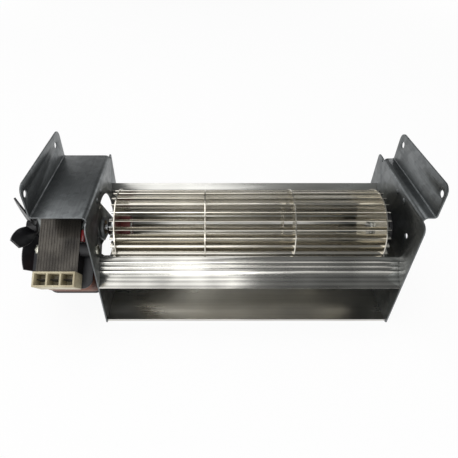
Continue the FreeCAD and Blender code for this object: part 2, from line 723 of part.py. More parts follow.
def driven_hub():
    """Motor shaft, and the sleeve, damper and grub screw that drive the impeller."""
    disc_out = f"({END_DISC} + dims.disc_thick / 2)"
    disc_in = f"({END_DISC} - dims.disc_thick / 2)"
    damper_out = f"({END_DISC} + dims.damper_outside)"
    damper_in = f"({END_DISC} - dims.damper_inside)"
    damper = new_body("hub_damper")
    bore = "dims.sleeve_radius + dims.press_clearance"
    turn_profile(damper, "profile", [
        (f"-{damper_out}", bore), (f"-{damper_in}", bore),
        (f"-{damper_in}", "dims.damper_radius"), (f"-{disc_in}", "dims.damper_radius"),
        (f"-{disc_in}", "dims.damper_neck"), (f"-{disc_out}", "dims.damper_neck"),
        (f"-{disc_out}", "dims.damper_radius"), (f"-{damper_out}", "dims.damper_radius")])
    put(damper)

    sleeve = new_body("hub_sleeve")
    shaft_bore = "dims.shaft_radius + dims.press_clearance"
    turn_profile(sleeve, "profile", [
        (f"-{SLEEVE_OUT}", shaft_bore), (f"-{damper_in}", shaft_bore),
        (f"-{damper_in}", "dims.sleeve_radius"), (f"-{damper_out}", "dims.sleeve_radius"),
        (f"-{damper_out}", "dims.collar_radius"), (f"-{SLEEVE_OUT}", "dims.collar_radius")])
    collar_middle = f"-({damper_out} + dims.collar_length / 2)"
    thread = new_sketch(sleeve, "XY_Plane", "thread")
    circle(thread, collar_middle, "0", "dims.grub_radius + dims.press_clearance")
    cut(sleeve, thread)
    put(sleeve)

    grub = new_body("hub_grub_screw")
    shank = new_sketch(grub, "XY_Plane", "shank", offset=f"vector(0; 0; {shaft_bore})")
    circle(shank, collar_middle, "0", "dims.grub_radius")
    pad(grub, shank, "dims.collar_radius - dims.shaft_radius")
    put(grub)

    shaft = new_body("motor_shaft")
    outer_end = (f"-({BRIDGE_OUT} + dims.boss_out + dims.fan_gap + dims.fan_hub_length"
                 " + dims.shaft_stub)")
    turn_profile(shaft, "profile", tube(outer_end, f"-{damper_in}", "0", "dims.shaft_radius"))
    put(shaft)


def stub_end():
    """Stub shaft in the free end's disc, with its bush and rubber mount."""
    disc_out = f"({END_DISC} + dims.disc_thick / 2)"
    disc_in = f"({END_DISC} - dims.disc_thick / 2)"
    head_in = f"({disc_in} - dims.stub_flange_thick)"
    flange_out = f"({disc_out} + dims.stub_flange_thick)"
    bush_start = f"({PLATE} + dims.sheet_thick / 2 - dims.bush_length / 2)"
    bush_end = f"({bush_start} + dims.bush_length)"
    stub_tip = f"({bush_end} + dims.shaft_stub)"
    stub = new_body("stub_shaft")
    turn_profile(stub, "profile", [
        (head_in, "0"), (head_in, "dims.stub_head"), (disc_in, "dims.stub_head"),
        (disc_in, "dims.stub_neck"), (disc_out, "dims.stub_neck"),
        (disc_out, "dims.stub_flange"), (flange_out, "dims.stub_flange"),
        (flange_out, "dims.shaft_radius"), (stub_tip, "dims.shaft_radius"), (stub_tip, "0")])
    put(stub)

    bush = new_body("end_bush")
    turn_profile(bush, "profile", tube(bush_start, bush_end,
                                       "dims.shaft_radius + dims.running_clearance",
                                       "dims.bush_radius"))
    put(bush)

    mount = new_body("bearing_mount")
    bore = "dims.bush_radius + dims.press_clearance"
    left = f"({PLATE} - dims.mount_cheek)"
    right = f"({PLATE_OUT} + dims.mount_cheek)"
    turn_profile(mount, "profile", [
        (left, bore), (right, bore), (right, "dims.mount_radius"),
        (PLATE_OUT, "dims.mount_radius"), (PLATE_OUT, "dims.mount_neck"),
        (PLATE, "dims.mount_neck"), (PLATE, "dims.mount_radius"),
        (left, "dims.mount_radius")])
    put(mount)


def stator_core():
    """Lamination stack: a closed end round the rotor's bore and two legs for the yoke."""
    body = new_body("stator_core")
    sketch = new_sketch(body, "YZ_Plane", "lamination", offset=f"vector(0; 0; -{STACK_OUT})")
    half = "dims.stack_half"
    polygon(sketch, [(f"-{half}", "dims.stack_top"), (half, "dims.stack_top"),
                     (half, "-dims.leg_end"), (CHEEK, "-dims.leg_end"),
                     (CHEEK, "-dims.window_top"), (f"-{CHEEK}", "-dims.window_top"),
                     (f"-{CHEEK}", "-dims.leg_end"), (f"-{half}", "-dims.leg_end")])
    pad(body, sketch, "dims.stack_length")
    round_edges(body, "corners", "dims.stack_corner",
                lambda at, way: along(way, "x") and near(at.z, "dims.stack_top"))
    holes = new_sketch(body, "YZ_Plane", "holes")
    circle(holes, "0", "0", "dims.bore_radius")
    wire = "dims.shading_wire"
    gap = "dims.fit_gap"
    for side in ("-", ""):
        circle(holes, f"{side}{BRIDGE_SCREW}", "dims.bridge_screw_rise",
               "dims.bridge_screw_radius + dims.hole_clearance")
        circle(holes, f"{side}{MOUNT_SCREW}", "-dims.mount_screw_drop",
               "dims.mount_screw_radius + dims.hole_clearance")
        near_side = f"{side}({SHADING} - {gap})"
        far_side = f"{side}({SHADING} + {wire} + {gap})"
        for low in ("dims.shading_low", f"(dims.shading_high - {wire})"):
            rectangle(holes, near_side, far_side, f"{low} - {gap}", f"{low} + {wire} + {gap}")
    cut(body, holes, along_normal=False)
    put_on_motor(body)


def shading_rings():
    """Two closed copper rings, one through each pole."""
    body = new_body("shading_rings")
    wire = "dims.shading_wire"
    sketch = new_sketch(body, "XZ_Plane", "loop", offset=f"vector(0; 0; {SHADING})")
    rectangle(sketch, f"-({STACK_OUT} + {wire})", f"-({STACK_IN} - {wire})",
              "dims.shading_low", "dims.shading_high")
    rectangle(sketch, f"-({STACK_OUT} + dims.fit_gap)", f"-({STACK_IN} - dims.fit_gap)",
              f"dims.shading_low + {wire}", f"dims.shading_high - {wire}")
    loop = pad(body, sketch, wire)
    copy_along(body, [loop], "Y_Axis", f"2 * {SHADING} + {wire}")
    put_on_motor(body)


def coil():
    """Straight yoke, bobbin, winding and tape between the legs of the stack."""
    yoke_top = "(dims.yoke_height - dims.leg_end)"
    gap = "dims.fit_gap"
    yoke = new_body("coil_yoke")
    sketch = new_sketch(yoke, "YZ_Plane", "section", offset=f"vector(0; 0; -{STACK_OUT})")
    rectangle(sketch, f"-({CHEEK} - {gap})", f"{CHEEK} - {gap}", "-dims.leg_end", yoke_top)
    pad(yoke, sketch, "dims.stack_length")
    put_on_motor(yoke)

    left = f"-({STACK_MIDDLE} + dims.coil_half)"
    right = f"-({STACK_MIDDLE} - dims.coil_half)"
    tube_left = f"-({STACK_OUT} + {gap} + dims.bobbin_wall)"
    tube_right = f"-({STACK_IN} - {gap} - dims.bobbin_wall)"
    tube_bottom = f"-(dims.leg_end + {gap} + dims.bobbin_wall)"
    tube_top = f"({yoke_top} + {gap} + dims.bobbin_wall)"
    bobbin = new_body("bobbin")
    outside = f"({CHEEK} - {gap})"
    inside = f"({outside} - dims.flange_thick)"
    for name, back in (("rear_cheek", outside), ("front_cheek", f"(-{inside})")):
        cheek = new_sketch(bobbin, "XZ_Plane", name, offset=f"vector(0; 0; -{back})")
        rounded_rectangle(cheek, left, right, "-dims.coil_bottom", "-dims.coil_top",
                          "dims.coil_corner")
        pad(bobbin, cheek, "dims.flange_thick")
        if name == "rear_cheek":
            core = new_sketch(bobbin, "XZ_Plane", "tube", offset=f"vector(0; 0; -{inside})")
            rectangle(core, tube_left, tube_right, tube_bottom, tube_top)
            pad(bobbin, core, f"2 * {inside}")
    hole = new_sketch(bobbin, "XZ_Plane", "yoke_hole", offset=f"vector(0; 0; -{CHEEK})")
    rectangle(hole, f"-({STACK_OUT} + {gap})", f"-({STACK_IN} - {gap})",
              f"-(dims.leg_end + {gap})", f"{yoke_top} + {gap}")
    cut(bobbin, hole)
    put_on_motor(bobbin)

    inset = "dims.winding_inset"
    cover = f"({inset} - dims.tape_thick)"
    winding = new_body("coil_winding")
    wound = new_sketch(winding, "XZ_Plane", "turns", offset=f"vector(0; 0; -({inside} - {gap}))")
    coil_outline(wound, left, right, inset)
    rectangle(wound, f"{tube_left} - {gap}", f"{tube_right} + {gap}",
              f"{tube_bottom} - {gap}", f"{tube_top} + {gap}")
    pad(winding, wound, f"2 * ({inside} - {gap})")
    put_on_motor(winding)

    tape = new_body("coil_tape")
    width = f"({inside} - dims.tape_inset)"
    band = new_sketch(tape, "XZ_Plane", "band", offset=f"vector(0; 0; -{width})")
    coil_outline(band, left, right, cover)
    coil_outline(band, left, right, inset)
    pad(tape, band, f"2 * {width}")
    put_on_motor(tape)


def coil_outline(sketch, left, right, inset):
    """Outline of the wound coil, a distance inside the bobbin's rim."""
    rounded_rectangle(sketch, f"{left} + {inset}", f"{right} - {inset}",
                      f"-dims.coil_bottom + {inset}", f"-dims.coil_top - {inset}",
                      f"dims.coil_corner - {inset}")


def connector():
    """Three-way connector on the bobbin's front cheek, and its contact tabs."""
    left = f"-{STACK_OUT}"
    right = f"-{STACK_IN}"
    top = "-(dims.leg_end + dims.fit_gap)"
    bottom = f"({top} - dims.socket_height)"
    back = f"({CHEEK} - dims.fit_gap)"
    housing = new_body("connector_housing")
    block = new_sketch(housing, "XZ_Plane", "block", offset=f"vector(0; 0; {back})")
    rectangle(block, left, right, bottom, top)
    pad(housing, block, f"{SOCKET_FACE} - {back}")
    wall = "dims.socket_wall"
    chamber = f"((dims.stack_length - 4 * {wall}) / 3)"
    mouth = new_sketch(housing, "XZ_Plane", "chambers", offset=f"vector(0; 0; {SOCKET_FACE})")
    tabs = new_body("contact_tabs")
    floor = f"({SOCKET_FACE} - dims.socket_depth)"
    contacts = new_sketch(tabs, "XZ_Plane", "tabs", offset=f"vector(0; 0; {floor})")
    for number in (0, 1, 2):
        start = f"({left} + {wall} + {number} * ({chamber} + {wall}))"
        rectangle(mouth, start, f"{start} + {chamber}", f"{bottom} + {wall}", f"{top} - {wall}")
        middle = f"({start} + {chamber} / 2)"
        height = f"({top} - dims.socket_height / 2)"
        rectangle(contacts, f"{middle} - dims.blade_tab_width / 2",
                  f"{middle} + dims.blade_tab_width / 2",
                  f"{height} - dims.blade_tab_thick / 2", f"{height} + dims.blade_tab_thick / 2")
    cut(housing, mouth, along_normal=False, length="dims.socket_depth")
    put_on_motor(housing)
    pad(tabs, contacts, "dims.blade_tab_length")
    put_on_motor(tabs)


def bearing_bridge(label, face, outwards):
    """Cast bridge over one end of the rotor; outwards is "-" away from the impeller."""
    def off(distance):
        """X of a plane that lies a distance off the stack's face."""
        return f"({face} {outwards or '+'} ({distance}))"

    body = new_body(label)
    height = "dims.bridge_height"
    wall = "dims.bridge_wall"
    web_start = off(height) if outwards else off(f"{height} - {wall}")
    web = new_sketch(body, "YZ_Plane", "web", offset=f"vector(0; 0; {web_start})")
    half = BRIDGE_HALF
    shoulder = "dims.bridge_shoulder"
    polygon(web, [(f"-{half}", "dims.bridge_top"), (half, "dims.bridge_top"), (half, shoulder),
                  ("dims.boss_radius", "-dims.bridge_foot"),
                  ("-dims.boss_radius", "-dims.bridge_foot"), (f"-{half}", shoulder)])
    pad(body, web, wall)
    bar = f"(1.5 * {wall})"
    for name, back in (("rear_leg", half), ("front_leg", f"(-{half} + {wall})")):
        leg = new_sketch(body, "XZ_Plane", name, offset=f"vector(0; 0; -{back})")
        polygon(leg, [(face, "dims.bridge_top"), (off(height), "dims.bridge_top"),
                      (off(height), shoulder), (face, "-dims.bridge_foot"),
                      (face, f"{bar} - dims.bridge_foot + {wall}"),
                      (off(f"{height} - {bar}"), f"dims.bridge_top - {bar}"),
                      (face, f"dims.bridge_top - {bar}")])
        pad(body, leg, wall)
    inner_end = off(f"{height} - dims.boss_in")
    outer_end = off(f"{height} + dims.boss_out")
    turn_profile(body, "boss", tube(inner_end, outer_end, "0", "dims.boss_radius"))
    holes = new_sketch(body, "YZ_Plane", "holes")
    circle(holes, "0", "0", "dims.bush_radius + dims.press_clearance")
    for side in ("-", ""):
        circle(holes, f"{side}{BRIDGE_SCREW}", "dims.bridge_screw_rise",
               "dims.bridge_screw_radius + dims.hole_clearance")
    cut(body, holes, along_normal=False)
    put_on_motor(body)

    bush = new_body(label.replace("bridge", "bush"))
    turn_profile(bush, "profile", tube(inner_end, outer_end,
                                       "dims.shaft_radius + dims.running_clearance",
                                       "dims.bush_radius"))
    put(bush)


def motor_rotor():
    """Rotor core with its two cast end rings."""
    body = new_body("motor_rotor")
    outer = "(dims.bore_radius - dims.air_gap)"
    ring = f"({outer} - dims.end_ring_step)"
    bore = "dims.shaft_radius + dims.press_clearance"
    far = f"-({STACK_OUT} + dims.rotor_end)"
    close = f"-({STACK_IN} - dims.rotor_end)"
    turn_profile(body, "profile", [
        (far, bore), (close, bore), (close, ring), (f"-{STACK_IN}", ring),
        (f"-{STACK_IN}", outer), (f"-{STACK_OUT}", outer), (f"-{STACK_OUT}", ring),
        (far, ring)])
    put(body)


def through_screws(label, radius, across, up, head_seat, nut_seat):
    """Two screws along X with their heads at head_seat, and their nuts at nut_seat.

    across and up give the first screw's place; the second is its mirror image.
    """
    sign = 1 if value(head_seat) > value(nut_seat) else -1
    head_end = f"({head_seat} + {sign} * dims.head_height)"
    nut_end = f"({nut_seat} - {sign} * dims.nut_height)"
    tail = f"({nut_end} - {sign} * dims.screw_tail)"
    wide = f"{radius} * dims.nut_ratio"
    screws = new_body(f"{label}_screws")
    shank = [(tail, "0"), (tail, radius), (head_seat, radius), (head_seat, wide),
             (head_end, wide), (head_end, "0")]
    screw = turn_profile(screws, "screw", shank, side=f"-{across}", rise=up)
    copy_along(screws, [screw], "Y_Axis", f"2 * {across}")
    put_on_motor(screws)
    nuts = new_body(f"{label}_nuts")
    plane = nut_end if value(nut_end) < value(nut_seat) else nut_seat
    flat = new_sketch(nuts, "YZ_Plane", "nut", offset=f"vector(-{across}; {up}; {plane})")
    hexagon(flat, wide)
    circle(flat, "0", "0", f"{radius} + dims.press_clearance")
    nut = pad(nuts, flat, "dims.nut_height")
    copy_along(nuts, [nut], "Y_Axis", f"2 * {across}")
    put_on_motor(nuts)


def hexagon(sketch, radius):
    """Closed hexagon about the sketch's origin."""
    polygon(sketch, [(f"{radius} * cos({turn})", f"{radius} * sin({turn})")
                     for turn in range(0, 360, 60)])


def motor_fixings():
    """Screws and nuts of the motor, its rubber spacers and the sleeving of its lead."""
    through_screws("bridge", "dims.bridge_screw_radius", BRIDGE_SCREW,
                   "dims.bridge_screw_rise", f"(-{BRIDGE_OUT})", f"(-{BRIDGE_IN})")
    through_screws("motor_mount", "dims.mount_screw_radius", MOUNT_SCREW,
                   "-dims.mount_screw_drop", f"(-{PLATE})", f"(-{STACK_OUT})")
    grommets = new_body("motor_grommets")
    ring = tube(f"-{STACK_IN}", f"-{PLATE_OUT}",
                "dims.mount_screw_radius + dims.hole_clearance", "dims.grommet_radius")
    grommet = turn_profile(grommets, "ring", ring, side=f"-{MOUNT_SCREW}",
                           rise="-dims.mount_screw_drop")
    copy_along(grommets, [grommet], "Y_Axis", f"2 * {MOUNT_SCREW}")
    put_on_motor(grommets)

    sleeving = new_body("lead_sleeving")
    section = new_sketch(sleeving, "XY_Plane", "section",
                         offset="vector(0; 0; dims.grommet_radius - dims.mount_screw_drop)")
    circle(section, f"-{STACK_IN} + dims.sleeving_radius",
           "dims.sleeving_radius - dims.stack_half", "dims.sleeving_radius")
    pad(sleeving, section, "dims.sleeving_length")
    put_on_motor(sleeving)


def cooling_fan():
    """Moulded fan on the outer end of the motor shaft, with twisted blades."""
    body = new_body("cooling_fan")
    hub_in = f"({BRIDGE_OUT} + dims.boss_out + dims.fan_gap)"
    hub_middle = f"-({hub_in} + dims.fan_hub_length / 2)"
    root = "(dims.fan_hub - dims.fan_blade_thick)"
    sections = []
    for name, out, chord, pitch in (
            ("root", root, "dims.fan_root_chord", "dims.fan_root_pitch"),
            ("belly", "dims.fan_belly", "dims.fan_belly_chord", "dims.fan_belly_pitch"),
            ("tip", "dims.fan_radius", "dims.fan_tip_chord", "dims.fan_tip_pitch")):
        sketch = new_sketch(body, "XY_Plane", name, offset=f"vector({hub_middle}; 0; {out})",
                            turn=pitch)
        half_thick = "dims.fan_blade_thick / 2"
        sections.append(rectangle(sketch, f"-{half_thick}", half_thick,
                                  f"-{chord} / 2", f"{chord} / 2"))
    blade = body.newObject("PartDesign::AdditiveLoft", "fan_blade")
    blade.Profile = sections[0]
    blade.Sections = sections[1:]
    doc.recompute()
    copy_round_axis(body, blade, "dims.fan_blades")
    turn_profile(body, "hub", tube(f"-({hub_in} + dims.fan_hub_length)", f"-{hub_in}", "0",
                                   "dims.fan_hub"))
    bore = new_sketch(body, "YZ_Plane", "bore")
    circle(bore, "0", "0", "dims.shaft_radius + dims.press_clearance")
    cut(body, bore, along_normal=False)
    put(body, turn="dims.fan_turn")


motor_side_plate()
bearing_side_plate()
scroll_housing()
front_deflector()
deflector_screws()
impeller_blades()
impeller_disc("driven_disc", f"-{END_DISC}", "dims.damper_neck + dims.press_clearance")
impeller_disc("left_ring", f"-{INNER_RING}", "dims.ring_opening")
impeller_disc("right_ring", INNER_RING, "dims.ring_opening")
impeller_disc("free_disc", END_DISC, "dims.stub_neck + dims.press_clearance")
driven_hub()
stub_end()
stator_core()
shading_rings()
coil()
connector()
bearing_bridge("outer_bridge", f"(-{STACK_OUT})", "-")
bearing_bridge("inner_bridge", f"(-{STACK_IN})", "")
motor_rotor()
motor_fixings()
cooling_fan()
doc.recompute()

for item in doc.Objects:
    if "Invalid" in item.State or "Error" in item.State:
        raise RuntimeError(f"{item.Label} did not build: {item.State}")
for piece in pieces:
    if piece.Shape.isNull() or not piece.Shape.isValid():
        raise RuntimeError(f"{piece.Label} has no valid shape")

os.makedirs("parts", exist_ok=True)
for piece in pieces:
    piece.Shape.exportStep(f"parts/{piece.Label}.step")
    print(piece.Label, len(piece.Shape.Solids), round(piece.Shape.Volume, 1))
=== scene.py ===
"""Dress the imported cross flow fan: its sheet metal duct, its impeller and its motor.

Each class is one assembly as it would lie on the bench, with its sizes as fields and with
methods that build its meshes and dress them. Sizes are in millimetres and are turned to
metres where a mesh is made; only the studio is given in metres. X runs along the impeller,
away from the motor. The outlet faces -Y and Z is up.
"""
import json
import logging
import math
from dataclasses import dataclass
from enum import Enum
from typing import Any, Sequence

import bmesh
import bpy
from mathutils import Euler, Matrix, Vector

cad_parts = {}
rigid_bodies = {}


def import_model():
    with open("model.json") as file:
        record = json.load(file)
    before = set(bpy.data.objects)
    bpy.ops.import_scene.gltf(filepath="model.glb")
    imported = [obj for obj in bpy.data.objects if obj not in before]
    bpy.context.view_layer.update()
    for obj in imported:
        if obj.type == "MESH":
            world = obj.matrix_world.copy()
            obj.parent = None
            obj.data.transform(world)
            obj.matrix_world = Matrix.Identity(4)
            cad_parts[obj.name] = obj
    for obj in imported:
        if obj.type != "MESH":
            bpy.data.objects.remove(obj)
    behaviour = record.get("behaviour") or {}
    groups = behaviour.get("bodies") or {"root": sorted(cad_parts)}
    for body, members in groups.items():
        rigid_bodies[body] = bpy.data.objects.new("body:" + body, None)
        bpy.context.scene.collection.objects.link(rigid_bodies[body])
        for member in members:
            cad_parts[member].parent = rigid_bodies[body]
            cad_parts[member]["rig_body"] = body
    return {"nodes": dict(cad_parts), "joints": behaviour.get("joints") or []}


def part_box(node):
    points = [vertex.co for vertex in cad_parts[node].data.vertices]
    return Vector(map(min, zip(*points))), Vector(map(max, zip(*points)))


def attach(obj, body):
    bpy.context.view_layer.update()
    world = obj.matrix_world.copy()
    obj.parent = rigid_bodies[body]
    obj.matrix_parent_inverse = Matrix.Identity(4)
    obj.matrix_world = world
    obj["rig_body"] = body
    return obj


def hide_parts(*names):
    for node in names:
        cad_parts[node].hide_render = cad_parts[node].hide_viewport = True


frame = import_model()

LOG = logging.getLogger("fan")
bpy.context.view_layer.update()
# Height of the impeller's axis in metres, from its joint
AXIS_HEIGHT = frame["joints"][0]["pos_m"][2]
ON_THE_AXIS = Matrix.Translation((0, 0, AXIS_HEIGHT))
# Turns what is drawn in XY and stacked along Z, so that X is across, Y up and Z along the fan
ALONG_THE_FAN = Euler((math.pi / 2, 0, math.pi / 2)).to_matrix().to_4x4()

# Past this angle an edge is sharp, so that it is rounded and its shading breaks
SHARP_DEG = 32.0
# The wave texture takes the sine of this many times a place
WAVE_RATE = 20.0

Outline = list[Vector]


def mm(size: float) -> float:
    """Turn millimetres to metres."""
    return size * 0.001


def per_metre(feature_mm: float) -> float:
    """Give the texture scale at which one cell is feature_mm wide."""
    return 1000.0 / feature_mm


def linear(hex_code: str) -> tuple[float, float, float, float]:
    """Turn an sRGB hex colour to the linear colour that a shader takes.

    Args:
        hex_code: Colour as six hex digits.

    Returns:
        Red, green, blue and an alpha of 1.
    """
    parts = [int(hex_code[place:place + 2], 16) / 255 for place in (0, 2, 4)]
    red, green, blue = (
        part / 12.92 if part <= 0.04045 else ((part + 0.055) / 1.055) ** 2.4 for part in parts)
    return red, green, blue, 1.0


def add_node(tree: bpy.types.NodeTree, kind: str, settings: dict[str, Any] | None = None,
             inputs: dict[str | int, Any] | None = None) -> bpy.types.Node:
    """Add a node, set its properties and fill its sockets.

    Args:
        tree: Node tree that gets the node.
        kind: Type of the node.
        settings: Properties of the node by name.
        inputs: Sockets by name or number, each with a value or the output that feeds it.

    Returns:
        The new node.
    """
    node = tree.nodes.new(kind)
    for name, setting in (settings or {}).items():
        setattr(node, name, setting)
    for socket, source in (inputs or {}).items():
        if isinstance(source, bpy.types.NodeSocket):
            tree.links.new(source, node.inputs[socket])
        else:
            node.inputs[socket].default_value = source
    return node


class Lay(Enum):
    """Way that a finish's marks run, as the pattern's scale along X, Y and Z."""

    EVEN = (1.0, 1.0, 1.0)
    ALONG = (0.008, 1.0, 1.0)
    ACROSS = (1.0, 0.02, 1.0)
    TURNED = (1.0, 0.02, 0.02)


@dataclass(frozen=True)
class Finish:
    """Surface of one real material, drawn from its marks and its cloudy patches.

    Attributes:
        name: What the material is and how its surface was made.
        colour: Colour of the clean surface, as sRGB hex.
        shade: Colour of its darker marks and patches, as sRGB hex.
        rough: Roughness of its smoothest and of its dullest spots.
        mark: Width of a mark in mm.
        depth: Depth of a mark in mm.
        patch: Size of a cloudy patch in mm.
        lay: Way that the marks run.
        metallic: 1 for bare metal and 0 for the rest.
        coat: Weight of a clear layer on top, such as enamel or varnish.
    """

    name: str
    colour: str
    shade: str
    rough: tuple[float, float]
    mark: float
    depth: float
    patch: float
    lay: Lay = Lay.EVEN
    metallic: float = 1.0
    coat: float = 0.0

    MARK_DETAIL = 3.0
    PATCH_DETAIL = 2.0
    # Share of the marks in the tone, and the range of both that spans colour to shade
    MARK_SHARE = 0.5
    TONE_RANGE = (0.55, 0.95)

    def material(self) -> bpy.types.Material:
        """Give the material, made on first use."""
        return bpy.data.materials.get(self.name) or self.mix()

    def mix(self) -> bpy.types.Material:
        """Build the material's nodes.

        Returns:
            The new material.
        """
        material = bpy.data.materials.new(self.name)
        material.use_nodes = True
        tree = material.node_tree
        tree.nodes.clear()
        spot = add_node(tree, "ShaderNodeTexCoord").outputs["Object"]
        marks = self.marks(tree, spot)
        tone = self.tone(tree, spot, marks)
        # Sockets 6 and 7 of a Mix node are its two colours, and 2 and 3 its two numbers
        colour = add_node(tree, "ShaderNodeMix", {"data_type": "RGBA"},
                          {"Factor": tone, 6: linear(self.colour), 7: linear(self.shade)})
        smooth, dull = self.rough
        rough = add_node(tree, "ShaderNodeMapRange", None,
                         {"Value": tone, "To Min": smooth, "To Max": dull})
        bump = add_node(tree, "ShaderNodeBump", None,
                        {"Height": marks, "Distance": mm(self.depth)})
        shader = add_node(tree, "ShaderNodeBsdfPrincipled", None, {
            "Base Color": colour.outputs[2], "Roughness": rough.outputs[0],
            "Normal": bump.outputs[0], "Metallic": self.metallic, "Coat Weight": self.coat})
        add_node(tree, "ShaderNodeOutputMaterial", None, {"Surface": shader.outputs[0]})
        return material

    def marks(self, tree: bpy.types.NodeTree, spot: bpy.types.NodeSocket) -> bpy.types.NodeSocket:
        """Draw the fine marks.

        Args:
            tree: Node tree of the material.
            spot: Place on the object.

        Returns:
            Height of the marks, from 0 to 1.
        """
        drawn = add_node(tree, "ShaderNodeMapping", None,
                         {"Vector": spot, "Scale": self.lay.value})
        noise = add_node(tree, "ShaderNodeTexNoise", None, {
            "Vector": drawn.outputs[0], "Scale": per_metre(self.mark),
            "Detail": self.MARK_DETAIL})
        return noise.outputs[0]

    def tone(self, tree: bpy.types.NodeTree, spot: bpy.types.NodeSocket,
             marks: bpy.types.NodeSocket) -> bpy.types.NodeSocket:
        """Lay the marks over cloudy patches.

        Args:
            tree: Node tree of the material.
            spot: Place on the object.
            marks: Height of the fine marks.

        Returns:
            Share of the darker colour, from 0 to 1.
        """
        patches = add_node(tree, "ShaderNodeTexNoise", None, {
            "Vector": spot, "Scale": per_metre(self.patch), "Detail": self.PATCH_DETAIL})
        both = add_node(tree, "ShaderNodeMath", {"operation": "MULTIPLY_ADD"},
                        {0: marks, 1: self.MARK_SHARE, 2: patches.outputs[0]})
        low, high = self.TONE_RANGE
        spread = add_node(tree, "ShaderNodeMapRange", None, {
            "Value": both.outputs[0], "From Min": low, "From Max": high})
        return spread.outputs[0]


@dataclass(frozen=True)
class SpangledSheet(Finish):
    """Hot-dip galvanised sheet, whose zinc froze in flat crystals.

    Attributes:
        spangle: Width of a zinc crystal in mm.
        flash: How far the crystals differ in tone.
    """

    spangle: float = 7.0
    flash: float = 0.08

    def tone(self, tree: bpy.types.NodeTree, spot: bpy.types.NodeSocket,
             marks: bpy.types.NodeSocket) -> bpy.types.NodeSocket:
        """Mix the marks with crystals that each have a tone of their own.

        Args:
            tree: Node tree of the material.
            spot: Place on the object.
            marks: Height of the fine marks.

        Returns:
            Share of the darker colour, from 0 to 1.
        """
        crystals = add_node(tree, "ShaderNodeTexVoronoi", None, {
            "Vector": spot, "Scale": per_metre(self.spangle)})
        single = add_node(tree, "ShaderNodeSeparateColor", None,
                          {0: crystals.outputs["Color"]})
        plain = Finish.tone(self, tree, spot, marks)
        both = add_node(tree, "ShaderNodeMix", {"data_type": "FLOAT"},
                        {"Factor": self.flash, 2: plain, 3: single.outputs[0]})
        return both.outputs[0]


@dataclass(frozen=True)
class RibbedProfile(Finish):
    """Extruded profile, whose die left fine ribs the whole way along.

    Attributes:
        rib: Height from rib to rib in mm.
        relief: Share of the ribs in the height, and so in the darker colour painted as shade,
            where the rest is the fine lines.
    """

    rib: float = 2.0
    relief: float = 0.45

    def marks(self, tree: bpy.types.NodeTree, spot: bpy.types.NodeSocket) -> bpy.types.NodeSocket:
        """Lay the drawing lines over the ribs; their height also darkens the colour, as painted
        shade.

        Args:
            tree: Node tree of the material.
            spot: Place on the object.

        Returns:
            Height of the ribs and lines, from 0 to 1.
        """
        lines = Finish.marks(self, tree, spot)
        ribs = add_node(tree, "ShaderNodeTexWave", {"bands_direction": "Z"}, {
            "Vector": spot, "Scale": per_metre(self.rib) * math.tau / WAVE_RATE,
            "Distortion": 0.0})
        both = add_node(tree, "ShaderNodeMix", {"data_type": "FLOAT"},
                        {"Factor": self.relief, 2: lines, 3: ribs.outputs["Fac"]})
        return both.outputs[0]


@dataclass(frozen=True)
class StackedSteel(Finish):
    """Edges of punched steel sheets, each with a tone of its own.

    Attributes:
        sheet: Distance from sheet to sheet in mm.
        own: How far the sheets differ in tone.
    """

    sheet: float = 1.0
    own: float = 0.16

    def tone(self, tree: bpy.types.NodeTree, spot: bpy.types.NodeSocket,
             marks: bpy.types.NodeSocket) -> bpy.types.NodeSocket:
        """Give each sheet its own tone and mix that with the marks.

        Args:
            tree: Node tree of the material.
            spot: Place on the object.
            marks: Height of the fine marks.

        Returns:
            Share of the darker colour, from 0 to 1.
        """
        place = add_node(tree, "ShaderNodeSeparateXYZ", None, {0: spot})
        number = add_node(tree, "ShaderNodeMath", {"operation": "MULTIPLY"},
                          {0: place.outputs[0], 1: per_metre(self.sheet)})
        whole = add_node(tree, "ShaderNodeMath", {"operation": "FLOOR"},
                         {0: number.outputs[0]})
        single = add_node(tree, "ShaderNodeTexWhiteNoise", {"noise_dimensions": "1D"},
                          {"W": whole.outputs[0]})
        plain = Finish.tone(self, tree, spot, marks)
        both = add_node(tree, "ShaderNodeMix", {"data_type": "FLOAT"},
                        {"Factor": self.own, 2: plain, 3: single.outputs["Value"]})
        return both.outputs[0]


# Marks of rolling, drawing, grinding and moulding are finer than the render shows, so they
# are drawn 0.3 mm to 1.4 mm wide. The tape's marks are its wrinkles, at their own size.

# Rolled zinc-coated sheet: clear crystals, faint rolling streaks, its grey darkened as painted
# shade
PLATE_ZINC_PAINTED_SHADE = SpangledSheet(
    "galvanised_steel_painted_shade", "7C7F80", "5A5D5E", rough=(0.34, 0.46), mark=0.9,
    depth=0.0015, patch=35.0, lay=Lay.ACROSS, spangle=4.0, flash=0.45)
# The same zinc-coated sheet, with hardly a crystal and with rolling lines the long way; its
# pale grey is painted light that brightens the scroll inside the duct
SCROLL_ZINC_PAINTED_LIGHT = SpangledSheet(
    "galvanised_steel_painted_light", "DAD9D4", "C3C2BD", rough=(0.26, 0.38), mark=1.2,
    depth=0.014, patch=60.0, lay=Lay.ALONG)
# Aluminium pushed through a die: near white, with fine ribs and lines the whole way along
# The ribs and lines are darker in colour as painted shade, so that they show in even light
DIE_DRAWN = RibbedProfile(
    "aluminium_extruded_ribs_painted_shade", "D9D7D0", "8F8E8A", rough=(0.16, 0.28), mark=0.9,
    depth=0.012, patch=40.0, lay=Lay.ALONG)
# Rolled aluminium strip: bright, hardly marked; its warm tint is a painted reflection of a warm
# room
BLADE_STRIP = Finish(
    "aluminium_strip_painted_warm_reflection", "D9D5CB", "C2BDB1", rough=(0.2, 0.28), mark=1.4,
    depth=0.0006, patch=40.0, lay=Lay.ALONG)
